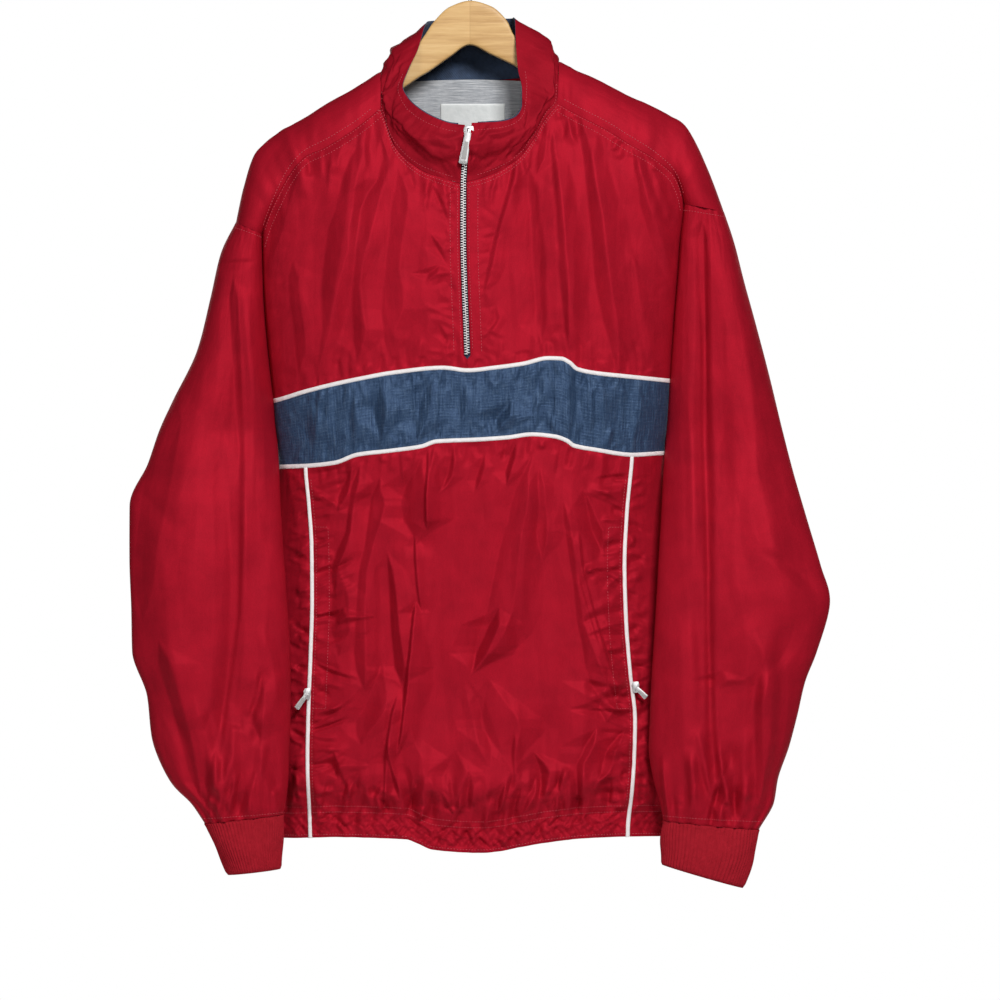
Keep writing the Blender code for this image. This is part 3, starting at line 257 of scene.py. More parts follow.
# %% [markdown]
# ## Finishes
#
# Every finish is worked out by shader nodes, so it stays sharp at any distance and needs no
# image. Cloth patterns follow the cloth: they read its UV map, which counts metres along it, so
# a thread keeps its width where the cloth is folded. Wood and metal read Object coordinates.


# %% A short way to wire nodes
def wire(tree, kind, settings=(), **inputs):
    """Adds one node. Each input is a number, a colour or another node's socket; its name has _
    for a space, and a number after __ picks among sockets with one name."""
    node = tree.nodes.new("ShaderNode" + kind)
    for key, value in dict(settings).items():
        setattr(node, key, value)
    for key, value in inputs.items():
        key = int(key[1:]) if key[0] == "_" else key.replace("_", " ")
        if isinstance(value, bpy.types.NodeSocket):
            tree.links.new(value, node.inputs[key])
        else:
            node.inputs[key].default_value = value
    return node


def finish(name, roughness, metallic=0.0, **constants):
    """A new material with its constant sockets set; returns it, its tree and its shader."""
    material = bpy.data.materials.new(name)
    material.use_nodes = True
    tree = material.node_tree
    shader = tree.nodes["Principled BSDF"]
    shader.inputs["Roughness"].default_value = roughness
    shader.inputs["Metallic"].default_value = metallic
    for key, value in constants.items():
        shader.inputs[key.replace("_", " ")].default_value = value
    return material, tree, shader


def coordinates(tree, kind, scale=(1, 1, 1)):
    """UV or Object coordinates, stretched by scale."""
    source = wire(tree, "TexCoord").outputs[kind]
    return wire(tree, "Mapping", Vector=source, Scale=scale).outputs["Vector"]


def noise(tree, where, scale, detail=3.0, roughness=0.5):
    """Soft noise from 0 to 1, whose largest spots repeat scale times to a unit."""
    return wire(
        tree, "TexNoise", Vector=where, Scale=scale, Detail=detail, Roughness=roughness
    ).outputs["Fac"]


def ramp(tree, value, *stops):
    """Colours along a value: stops are (place, (r, g, b))."""
    node = wire(tree, "ValToRGB", Fac=value)
    while len(node.color_ramp.elements) < len(stops):
        node.color_ramp.elements.new(0.5)
    for element, (place, colour) in zip(node.color_ramp.elements, stops):
        element.position = place
        element.color = (*colour, 1)
    return node.outputs["Color"]


def maths(tree, operation, a, b=0.0):
    """One Math node's result."""
    return wire(tree, "Math", {"operation": operation}, _0=a, _1=b).outputs["Value"]


def mixed(tree, a, share_a, b, share_b):
    """Two values added in fixed shares."""
    return maths(
        tree, "ADD", maths(tree, "MULTIPLY", a, share_a), maths(tree, "MULTIPLY", b, share_b)
    )


def threads(tree, where, direction, pitch):
    """Waves across a cloth, pitch metres apart; Blender's band wave repeats each pi / 10."""
    wave = wire(
        tree, "TexWave", {"bands_direction": direction}, Vector=where, Scale=np.pi / 10 / pitch
    )
    return wave.outputs["Fac"]


def relief(tree, shader, *layers):
    """Bumps one on another: each layer is (height socket, depth in metres)."""
    normal = None
    for height, depth in layers:
        node = wire(tree, "Bump", Height=height, Strength=1.0, Distance=depth)
        if normal is not None:
            tree.links.new(normal, node.inputs["Normal"])
        normal = node.outputs["Normal"]
    tree.links.new(normal, shader.inputs["Normal"])


def colour_to(tree, shader, colour):
    """Gives the shader its colour."""
    tree.links.new(colour, shader.inputs["Base Color"])


print("node helpers ready")


# %% [markdown]
# Satin nylon shines softly along its folds and shows faint crumples between them. Its colour
# hardly changes, only by a faint mottle. The reflection is tinted red, so that the cloth's edge
# doesn't turn milky where it is seen at a grazing angle.


# %% Nylon, ripstop and piping
def creased(tree, wide, tall, place):
    """Flat facets about wide x tall metres with sharp edges: the squared distance to the nearest
    of one set of scattered points, less that to the nearest of another."""
    squares = []
    for shift in (0.0, 17.3):
        where = wire(tree, "Mapping", Vector=wire(tree, "TexCoord").outputs["UV"],
                     Location=(place + shift, place - shift, 0), Scale=(1 / wide, 1 / tall, 1))
        cell = wire(tree, "TexVoronoi", {"voronoi_dimensions": "2D"},
                    Vector=where.outputs["Vector"], Scale=1.0)
        squares.append(maths(tree, "POWER", cell.outputs["Distance"], 2.0))
    return maths(tree, "SUBTRACT", *squares)


def nylon(name, deep, clear, roughness, large, small):
    """Shell cloth: fine threads both ways over crumples of two sizes, and a slight mottle."""
    material, tree, shader = finish(
        name, roughness, 0.22, Specular_IOR_Level=0.2, Specular_Tint=(0.75, 0.16, 0.2, 1.0)
    )
    cloth = coordinates(tree, "UV")
    mottle = noise(tree, cloth, 38.0, 4.0, 0.6)
    speck = noise(tree, cloth, 850.0, 2.0, 0.7)
    shades = ramp(tree, mixed(tree, mottle, 0.55, speck, 0.45), (0.34, deep), (0.66, clear))
    colour_to(tree, shader, shades)
    weave = maths(
        tree, "ADD", threads(tree, cloth, "X", 0.0011), threads(tree, cloth, "Y", 0.0013)
    )
    relief(
        tree, shader, (creased(tree, 0.013, 0.048, 5.0), large),
        (creased(tree, 0.0055, 0.014, 9.0), small), (weave, 0.000025),
    )
    return material


red_nylon = nylon(
    "red_nylon", (0.32, 0.0065, 0.018), (0.42, 0.0080, 0.0225), 0.59, 0.0003, 0.0001
)
# A darker copy of the red nylon for the collar. Its darker colour is painted shade, for the
# collar's lower part, which sinks in and faces down.
collar_nylon_painted_shade = nylon(
    "collar_nylon_painted_shade", (0.245, 0.0050, 0.0135), (0.33, 0.0064, 0.0172), 0.6, 0.0005, 0.0002
)


def ripstop():
    """Crinkled cloth with heavier threads: a grid of ribs 3.2 mm apart over fine creases that
    run down and across it. Its colour is paler where they stand up, as painted highlight, and
    darker between them, as painted shade."""
    material, tree, shader = finish(
        "navy_ripstop", 0.55, 0.45,
        Sheen_Weight=0.05, Sheen_Roughness=0.4, Specular_IOR_Level=0.35,
    )
    cloth = coordinates(tree, "UV")
    ribs = [maths(tree, "POWER", threads(tree, cloth, way, 0.0032), 5.0) for way in "XY"]
    grid = maths(tree, "MAXIMUM", *ribs)
    crinkle = noise(tree, coordinates(tree, "UV", (1.0, 0.16, 1.0)), 420.0, 4.0, 0.65)
    cross = noise(tree, coordinates(tree, "UV", (0.22, 1.0, 1.0)), 520.0, 3.0, 0.6)
    # Painted highlight and shade: the colour follows the height of the ribs and creases, paler on
    # their tops and darker in their furrows.
    painted_crease_light = maths(
        tree, "ADD", maths(tree, "MULTIPLY", grid, 0.06), mixed(tree, crinkle, 0.65, cross, 0.35)
    )
    shades = ramp(
        tree, painted_crease_light, (0.34, (0.018, 0.042, 0.100)), (0.52, (0.033, 0.069, 0.144)),
        (0.74, (0.075, 0.126, 0.220)),
    )
    colour_to(tree, shader, shades)
    relief(tree, shader, (crinkle, 0.0008), (cross, 0.0005), (grid, 0.00012))
    return material


navy_ripstop = ripstop()


def twill(name, deep, clear, pitch, depth, roughness=0.7, sheen=0.15):
    """A ribbed or twilled narrow cloth: slanted threads over a slight mottle."""
    material, tree, shader = finish(name, roughness, Sheen_Weight=sheen)
    cloth = coordinates(tree, "UV")
    mottle = noise(tree, cloth, 160.0, 3.0)
    colour_to(tree, shader, ramp(tree, mottle, (0.3, deep), (0.7, clear)))
    slant = threads(tree, cloth, "DIAGONAL", pitch)
    relief(tree, shader, (mottle, 0.0004), (slant, depth))
    return material


white_piping = twill(
    "white_piping", (0.80, 0.755, 0.75), (0.90, 0.86, 0.86), 0.0009, 0.00008, 0.5
)
navy_facing = twill("navy_facing", (0.010, 0.027, 0.066), (0.028, 0.058, 0.125), 0.0011, 0.0002)
zip_tape_cloth = twill(
    "zip_tape_cloth", (0.008, 0.018, 0.05), (0.014, 0.032, 0.08), 0.0009, 0.0002
)
tab_inlay = twill("tab_inlay", (0.30, 0.29, 0.28), (0.42, 0.41, 0.40), 0.0007, 0.00005, 0.5)
label_satin = twill("label_satin", (0.80, 0.83, 0.82), (0.87, 0.89, 0.88), 0.0007, 0.00005, 0.38)
red_thread = twill("red_thread", (0.56, 0.04, 0.07), (0.72, 0.10, 0.14), 0.0004, 0.00005, 0.6)
print("cloths:", red_nylon.name, navy_ripstop.name, white_piping.name)


# %% [markdown]
# Jersey and rib are knitted. The neck's jersey is marled: its yarn is spun from dark and pale
# grey fibre, which shows as short level streaks. The cuffs' rib stands up in real ridges, which
# the mesh has; its finish only adds the small stitches and a dry, matte look.


# %% Knits
def marl():
    """Grey jersey: short level streaks of dark and pale yarn over tiny columns of stitches."""
    material, tree, shader = finish("marl_jersey", 0.9, Sheen_Weight=0.25)
    streak = noise(tree, coordinates(tree, "UV", (0.05, 1.0, 1.0)), 1000.0, 4.0, 0.75)
    shades = ramp(
        tree, streak, (0.30, (0.27, 0.29, 0.33)), (0.5, (0.52, 0.54, 0.57)),
        (0.66, (0.80, 0.81, 0.83)),
    )
    colour_to(tree, shader, shades)
    stitches = threads(tree, coordinates(tree, "UV"), "X", 0.0012)
    relief(tree, shader, (streak, 0.0004), (stitches, 0.0002))
    return material


def rib_knit():
    """Red rib: rows of stitches 1.3 mm apart across the ridges, and a dusty mottle."""
    material, tree, shader = finish("red_rib", 0.95, Specular_IOR_Level=0.12)
    cloth = coordinates(tree, "UV")
    mottle = noise(tree, cloth, 140.0, 5.0, 0.7)
    shades = ramp(tree, mottle, (0.3, (0.31, 0.008, 0.017)), (0.7, (0.40, 0.012, 0.024)))
    colour_to(tree, shader, shades)
    relief(tree, shader, (mottle, 0.0006), (threads(tree, cloth, "Y", 0.0013), 0.00016))
    return material


marl_jersey = marl()
red_rib = rib_knit()
print("knits:", marl_jersey.name, red_rib.name)


# %% [markdown]
# The hanger is lacquered beech: long pale grain lines that run along each arm, with small dark
# flecks. The zips' parts and the hook are metal, brushed or plated, with fine scratches.


# %% Wood and metals
def beech():
    """Pale wood: noise stretched along x gives the grain, and fine short noise the flecks. The
    half at x > 0 is a shade darker, with a fine joint between the two."""
    material, tree, shader = finish("lacquered_beech", 0.5, Coat_Weight=0.12, Coat_Roughness=0.35)
    grain = noise(tree, coordinates(tree, "Object", (2.2, 34.0, 34.0)), 5.0, 6.0, 0.6)
    fleck = noise(tree, coordinates(tree, "Object", (60.0, 700.0, 700.0)), 1.0, 2.0)
    flecks = maths(tree, "MULTIPLY", maths(tree, "SUBTRACT", fleck, 0.5), 0.22)
    both = maths(tree, "ADD", grain, flecks)
    where = wire(tree, "TexCoord").outputs["Object"]
    place = wire(tree, "SeparateXYZ", Vector=where).outputs["X"]
    half = maths(tree, "GREATER_THAN", place, 0.0)
    both = maths(tree, "SUBTRACT", both, maths(tree, "MULTIPLY", half, 0.09))
    joint = maths(tree, "LESS_THAN", maths(tree, "ABSOLUTE", place), 0.0003)
    both = maths(tree, "SUBTRACT", both, maths(tree, "MULTIPLY", joint, 0.2))
    shades = ramp(
        tree, both, (0.28, (0.54, 0.30, 0.100)), (0.48, (0.68, 0.415, 0.158)),
        (0.68, (0.76, 0.50, 0.215)),
    )
    colour_to(tree, shader, shades)
    relief(tree, shader, (grain, 0.00035), (fleck, 0.00006))
    return material


def metal(name, deep, clear, roughness, stretch):
    """Worn metal: fine scratches along one way change its brightness and its relief."""
    material, tree, shader = finish(name, roughness, 1.0)
    scratch = noise(tree, coordinates(tree, "Object", stretch), 900.0, 3.0, 0.7)
    colour_to(tree, shader, ramp(tree, scratch, (0.3, deep), (0.7, clear)))
    relief(tree, shader, (scratch, 0.00004))
    return material


lacquered_beech = beech()
zip_silver = metal("zip_silver", (0.55, 0.54, 0.54), (0.80, 0.79, 0.79), 0.42, (1, 1, 0.2))
hook_chrome = metal("hook_chrome", (0.62, 0.62, 0.64), (0.85, 0.85, 0.87), 0.16, (1, 1, 1))
print("hard finishes:", lacquered_beech.name, zip_silver.name, hook_chrome.name)


# %% [markdown]
# ## The seam lines
#
# A sewn garment is drawn by its seams. Each line below is a short table, as drops along x or as
# x along the drop, and every piece beside a seam reads the same line, so the pieces meet.

# %% Seam lines of the front
PIPING = 4.4  # a piping's width
HEM_HEIGHT = 31.0  # the hem's elastic casing
GATHER_WAVE, GATHER_DEPTH = 19.0, 1.9  # the folds that the elastic draws up
TUCK_DEPTH = 15.0  # how far the elastic lies behind the cloth above it
ZIP_END, ZIP_SLOT = 425.0, 6.6  # drop of the zip's lower end, and the slot for its teeth
COLLAR_TOP = 197.0  # drop of the collar's top edge at the zip
HANGER_DEPTH = 7.0  # half the thickness of the hanger's plank
PIT = 499.0  # drop of the armholes' lowest points

NECK_LINE = table(
    "x drop",
    (-89, 178), (-84, 192), (-76, 214), (-66, 227), (-46, 242), (-24, 250), (-9.6, 254),
    (-3, 252.5), (14, 248), (32, 240), (50, 227), (62, 211), (76, 187), (87, 173),
)
BAND_TOP = table(
    "x drop",
    (-235, 474), (-196, 470), (-163, 461), (-134, 454), (-105, 448), (-77, 443), (-26, 438),
    (-2, 440.6), (24, 438), (53, 434), (78, 428.5), (91, 429), (99, 433), (106, 439),
    (124, 443), (153, 446), (198, 450), (235, 453),
)
BAND_BOTTOM = table(
    "x drop",
    (-235, 540), (-191, 536), (-163, 535), (-134, 532), (-111, 524), (-77, 520), (-48, 516),
    (-33, 511), (10, 509), (38, 507), (61, 504), (84, 506), (96, 510), (103, 515),
    (124, 519), (162, 524), (198, 522), (235, 522),
)
HEM_LINE = table(
    "x drop",
    (-240, 906), (-185, 906), (-127, 904), (-64, 905.5), (-51, 910), (-36, 916), (10, 919),
    (25, 918), (52, 913), (76, 909), (115, 905), (155, 904), (240, 906),
)
SIDE_PIPING = {
    -1: table("drop x", (490, -163), (536, -163), (571, -160), (616, -157), (670, -156.5),
              (723, -158), (775, -160), (825, -161), (875, -159.5), (925, -158)),
    1: table("drop x", (490, 162), (525, 161), (580, 156), (634, 153.5), (688, 155),
             (741, 159), (789, 164), (825, 163), (856, 161), (901, 157), (925, 158)),
}
ZIP_LINE = table("drop x", (190, -0.7), (222, -3.5), (254, -6.3), (300, -6.5), (426, -2.5),
                 (445, -2))

print("the band is", BAND_BOTTOM["drop"][8] - BAND_TOP["drop"][7], "mm tall at its middle")

# %% [markdown]
# The body is a flat bag over the hanger: its front and back stand off in the middle and meet at
# the side seams. The shoulders, the sleeves and the collar are tubes, given row by row.

# %% The body's edges and depth
LOW_EDGE = (
    (640, 216, 13, 13.4), (700, 225, 14, 14.4), (760, 230, 14, 14.4), (850, 229, 14, 14.4),
    (872, 225, 12, 12.4), (888, 216, 9, 9.4), (930, 214, 8, 8.4),
)
BODY_EDGE = {
    -1: table(
        "drop x front_y back_y",
        (120, 66, -4, 6), (140, 94, -4, 6), (159, 124, -5, 7), (175, 152, -6, 8),
        (191, 178, -6, 8), (204, 197, -7, 9), (221, 207, -8, 10), (250, 208, -8, 10),
        (303, 208, -8, 10), (325, 207.6, -8, 10), (369, 206, -8, 9), (419, 202, -7.5, 8),
        (469, 197.2, -4, 6),
        (PIT, 195, 2, 2.4), (512, 193.2, 4, 4.4), (533, 193, 5, 5.4), (560, 194.5, 7, 7.4),
        (580, 198, 9, 9.4), (605, 206, 11, 11.4), *LOW_EDGE,
    ),
    1: table(
        "drop x front_y back_y",
        (115, 66, -4, 6), (127, 90, -4, 6), (140, 118, -5, 7), (152, 140, -6, 8),
        (166, 168, -6, 8), (181, 196, -7, 9), (193, 213, -8, 10), (230, 214.5, -8, 10),
        (273, 214, -8, 10), (309, 210, -8, 10), (349, 207, -8, 9), (394, 203.5, -7.8, 8.4),
        (444, 200.7, -6, 7),
        (PIT, 197.5, 2, 2.4), (512, 195.7, 4, 4.4), (533, 195.5, 5, 5.4), (560, 196.5, 7, 7.4),
        (580, 199, 9, 9.4), (605, 207, 11, 11.4), *LOW_EDGE,
    ),
}

BODY_DEPTH = table(
    "drop front back",
    (120, 12, 30), (148, 18, 35), (178, 27, 40), (200, 33, 43), (225, 39, 45), (255, 46, 47),
    (300, 51, 49), (360, 55, 50), (450, 58, 50), (520, 60, 49), (620, 60, 48), (760, 60, 48),
    (830, 63, 51), (866, 67, 55), (930, 67, 55),
)

print("half a body is", BODY_EDGE[1]["x"].max(), "mm wide")

# %% Shoulders, sleeves and cuffs
SHOULDER = {
    -1: table(
        "front_x front_drop ridge_x ridge_drop back_x back_drop bulge round",
        (-89, 178, -89, 140, -80, 147, 0, 0),
        (-116, 200, -118, 159, -112, 187, 0, 0),
        (-145, 218, -147, 175, -142, 208, 0, 0),
        (-163, 226, -173, 191, -170, 226, 2, 0.1),
        (-179, 243, -195, 204, -190, 246, 6, 0.35),
        (-192, 266, -214, 221, -202, 268, 12, 0.7),
        (-202, 287, -226, 255, -206, 287, 17, 0.95),
        (-208, 303, -234, 291, -208, 303, 19, 1),
    ),
    1: table(
        "front_x front_drop ridge_x ridge_drop back_x back_drop bulge round",
        (87, 173, 89, 130, 80, 143, 0, 0),
        (106, 184, 106, 139, 105, 172, 0, 0),
        (133, 198, 134, 152, 133, 190, 0, 0),
        (159, 214, 164, 166.5, 160, 205, 2, 0.1),
        (185, 229, 194, 181, 186, 225, 6, 0.35),
        (203, 244, 214, 193.5, 203, 243, 12, 0.7),
        (210, 257, 236, 234, 210, 257, 17, 0.95),
        (214, 273, 254, 281, 214, 273, 19, 1),
    ),
}

SLEEVE = {
    -1: table(
        "in_x in_drop out_x out_drop depth front_y back_y out_y",
        (-208, 303, -234, 291, 19, -8, 10, 0),
        (-207.6, 325, -249, 322, 21, -8, 10, 0),
        (-206, 369, -260, 369, 24, -8, 9, 0),
        (-202, 419, -272.6, 419, 27, -7.5, 8, -2),
        (-196, 469, -296.5, 469, 30, -4, 6, -5),
        (-193.5, 499, -310, 499, 31, 1.8, 2.2, -9),
        (-190.5, 533, -321.5, 533, 31, -12.2, -11.8, -14),
        (-188, 575, -339, 575, 30, -31.2, -30.8, -24),
        (-184, 629, -338.5, 629, 29, -42.2, -41.8, -34),
        (-180.5, 677, -336.5, 677, 29, -44.2, -43.8, -38),
        (-178, 719, -335.5, 719, 29, -45.2, -44.8, -40),
        (-177.5, 764, -320.5, 764, 29, -45.2, -44.8, -41),
        (-178.5, 804, -316, 804, 29, -45.2, -44.8, -42),
        (-180, 849, -297, 849, 28, -45.2, -44.8, -43),
        (-183, 871, -276, 871, 25, -45.2, -44.8, -44),
        (-185, 881, -263, 890, 22, -45.2, -44.8, -45),
    ),
    1: table(
        "in_x in_drop out_x out_drop depth front_y back_y out_y",
        (214, 273, 254, 281, 19, -8, 10, 0),
        (210, 309, 264, 311, 21, -8, 10, 0),
        (207, 349, 274, 350, 23, -8, 9, 0),
        (203.5, 394, 286, 394, 25, -7.8, 8.4, -1),
        (199.5, 444, 299, 444, 28, -6, 7, -3),
        (196, 499, 312, 499, 31, 1.8, 2.2, -9),
        (193, 539, 322, 539, 31, -14.2, -13.8, -15),
        (190, 589, 336, 589, 30, -33.2, -32.8, -26),
        (187, 634, 349, 634, 29, -42.2, -41.8, -34),
        (185, 669, 358, 669, 29, -44.2, -43.8, -38),
        (182, 719, 345, 719, 29, -45.2, -44.8, -40),
        (180, 750, 333, 750, 29, -45.2, -44.8, -41),
        (178.6, 784, 325, 784, 29, -45.2, -44.8, -42),
        (177.5, 814, 317, 814, 29, -45.2, -44.8, -42),
        (182, 846, 306, 846, 28, -45.2, -44.8, -43),
        (188.5, 869, 302, 869, 25, -45.2, -44.8, -44),
        (192, 887, 287, 896, 22, -45.2, -44.8, -45),
    ),
}

CUFF = {
    -1: table("in_x in_drop out_x out_drop depth y", (-185, 881.3, -263, 890.3, 22, -45),
              (-186, 908, -252, 916, 23, -45), (-187, 935, -241, 941, 22, -45)),
    1: table("in_x in_drop out_x out_drop depth y", (192, 887.3, 287, 896.3, 22, -45),
             (190, 909, 283, 924, 24, -45), (190, 931, 272, 954, 22, -45)),
}

print("rows in a sleeve:", len(SLEEVE[1]["in_x"]))

# %% The collar and the hanger
COLLAR = table(
    "neck_x neck_drop place top_x top_drop top_y bow",
    (-9.6, 254, -1, -4.7, 197, -51, 1), (-24, 250, -1, -18, 195.5, -50, 1),
    (-46, 242, -1, -36, 189, -47, 2), (-66, 227, -1, -52, 179, -41, 2),
    (-76, 214, -1, -61, 170, -35, 3), (-84, 192, -1, -67, 157, -28, 3),
    (-89, 178, -1, -62, 141, -20, 3), (-89, 151, 0, -52, 119, -11, 3),
    (-89, 140, 0, -46, 97, -1, 4), (-85.5, 142.5, 0, -44, 91, 11, 5),
    (-80, 147, 1, -42, 89, 22, 6), (-52, 149, 1, -36, 88, 31, 4), (-26, 149, 1, -20, 87.5, 36, 3),
    (0, 148, 1, 0, 87.5, 38, 2), (26, 147, 1, 20, 86.5, 36, 3), (52, 145, 1, 37, 86, 31, 4),
    (80, 143, 1, 43, 86, 22, 6), (85.5, 134.5, 0, 44, 86, 11, 5), (89, 130, 0, 45, 88, 0, 6),
    (88, 143, 0, 46, 116, -14, 4), (87, 173, -1, 48, 140, -20, 3),
    (76, 187, -1, 52, 160, -28, 3), (62, 211, -1, 52, 176, -36, 2),
    (50, 227, -1, 46, 188, -43, 2), (32, 240, -1, 30, 193.5, -48, 1),
    (14, 248, -1, 14, 194.5, -50, 1),
    (-3, 252.5, -1, 1.9, 195, -51, 1),
)

HANGER = table(
    "x top bottom",
    (-204, 216, 222), (-199, 210.5, 219.5), (-173, 193, 210), (-147, 177, 199), (-118, 161, 186),
    (-101, 150.5, 177), (-89, 147, 172), (-66, 127, 157), (-50, 111, 146), (-43, 101, 142),
    (-37, 92, 138), (-20, 76, 126), (0, 70, 114), (20, 75, 123), (37, 90, 131), (43, 103, 134),
    (50, 112, 138), (66, 121, 146), (76, 130, 151), (88, 138, 157), (106, 141.2, 166),
    (134, 154.2, 178), (164, 168.7, 188), (194, 183.2, 198), (207, 191.5, 202),
)

print("collar stations:", len(COLLAR["neck_x"]))

# %% [markdown]
# ## The folds
#
# A fold is a ridge or trough along a slanted line. It has its own width on each side of the
# line, so one side can fall off sharply as creased nylon does, and it fades at its ends. The
# first tables hold the large folds, the next the creases between them.

# %% Large folds
FOLD_COLUMNS = "x0 drop0 x1 drop1 left right height bow"
FRONT_FOLDS = table(
    FOLD_COLUMNS,
    (-114, 205, -150, 445, 16, 9, 6, 4),
    (-179, 344, -166, 452, 9, 9, 4, 0),
    (-141, 222, -141, 275, 8, 8, 3, 0),
    (-112, 300, -108, 430, 12, 14, 4, 3),
    (-84, 290, -80, 432, 10, 12, 3, -3),
    (-44, 275, -42, 425, 12, 10, 3, 2),
    (62, 240, 70, 414, 14, 10, -4, 3),
    (84, 238, 99, 425, 12, 16, 5, 4),
    (116, 198, 146, 442, 14, 10, 5, 5),
    (162, 221, 203, 368, 18, 11, 8, 6),
    (160, 313, 178, 442, 10, 12, 4, 0),
    (36, 300, 44, 425, 12, 12, -3, 0),
    (-113, 455, -115, 520, 10, 12, 3, 0),
    (-83, 450, -84, 515, 10, 10, 3, 0),
    (98, 430, 98, 512, 12, 5, 4, 0),
    (30, 446, 8, 494, 10, 10, 3, 0),
    (-42, 520, -44, 610, 12, 16, 6, 0),
    (-53, 616, -50, 676, 14, 12, 5, 0),
    (-57, 676, -76, 830, 18, 14, 6, 5),
    (-73, 764, -88, 860, 16, 18, 5, 0),
    (60, 528, -8, 745, 30, 22, 7, 8),
    (97, 560, 143, 776, 22, 12, 7, 6),
    (74, 780, 75, 866, 16, 16, -6, 0),
    (20, 760, 18, 868, 20, 22, 5, -4),
    (-120, 560, -122, 800, 16, 16, 4, 6),
    (120, 700, 112, 860, 14, 16, 5, -4),
)

BACK_FOLDS = table(
    FOLD_COLUMNS,
    (-120, 215, -150, 450, 14, 18, 6, 6),
    (-60, 230, -84, 520, 20, 16, 4, 4),
    (-10, 260, -2, 470, 22, 22, -4, 3),
    (60, 225, 92, 500, 16, 18, 5, 6),
    (125, 215, 168, 430, 16, 12, 7, 6),
    (-165, 470, -140, 700, 18, 14, 6, 8),
    (-70, 540, -96, 800, 22, 18, 6, 6),
    (10, 520, -24, 760, 26, 22, 6, 10),
    (80, 560, 128, 790, 20, 14, 7, 8),
    (40, 760, 52, 868, 18, 18, 6, 0),
    (-30, 780, -36, 868, 18, 18, 5, 0),
)

SLEEVE_FOLDS = {
    -1: table(
        FOLD_COLUMNS,
        (-234, 344, -239, 504, 10, 12, -4, 4),
        (-225, 373, -214, 567, 8, 14, 5, 3),
        (-262, 400, -300, 600, 16, 20, 4, 8),
        (-218, 607, -246, 840, 14, 12, -6, 6),
        (-197, 740, -215, 800, 10, 12, 5, 0),
        (-290, 600, -268, 780, 22, 16, 5, -8),
        (-300, 690, -262, 860, 18, 14, 4, 0),
    ),
    1: table(
        FOLD_COLUMNS,
        (232, 270, 236, 450, 10, 12, -5, 0),
        (236, 450, 237, 685, 10, 14, -6, 3),
        (237, 685, 252, 870, 12, 14, -6, 3),
        (262, 330, 286, 560, 18, 14, 5, 6),
        (210, 420, 212, 640, 10, 12, 4, 0),
        (300, 560, 322, 700, 20, 16, 5, -6),
        (282, 690, 300, 850, 18, 16, 5, 4),
        (208, 690, 214, 840, 12, 12, 5, 0),
    ),
}

print("large folds:", len(FRONT_FOLDS["x0"]), "in front,", len(BACK_FOLDS["x0"]), "behind")

# %% [markdown]
# Nylon also creases on a smaller scale: short dents where it was folded away, and lines that
# run out of each seam. The main ones on the back and the sleeves are listed one by one.

# %% Creases listed one by one
BACK_CREASES = table(
    FOLD_COLUMNS,
    (-150, 240, -176, 380, 5, 10, 2.2, 4),
    (-96, 200, -110, 330, 8, 5, 1.8, 3),
    (-40, 190, -36, 330, 7, 9, 1.8, -3),
    (24, 200, 20, 350, 9, 6, 2.0, 2),
    (88, 200, 110, 320, 5, 8, 1.9, 4),
    (150, 236, 182, 360, 9, 5, 2.4, 4),
    (-130, 430, -118, 600, 6, 9, -2.0, 4),
    (-40, 420, -62, 600, 9, 6, 2.0, 4),
    (36, 420, 30, 580, 6, 9, -2.0, -3),
    (118, 440, 134, 610, 9, 5, 2.2, 5),
    (-180, 560, -166, 760, 8, 12, 2.4, 5),
    (-120, 640, -132, 830, 6, 9, 2.0, -4),
    (-50, 640, -44, 860, 9, 6, 2.2, 4),
    (20, 620, 0, 800, 6, 9, -2.2, 3),
    (70, 650, 84, 850, 8, 6, 2.0, 4),
    (158, 560, 172, 800, 9, 6, 2.4, 6),
    (110, 790, 116, 868, 6, 7, 2.2, 0),
    (-90, 800, -84, 868, 6, 6, 2.0, 0),
)
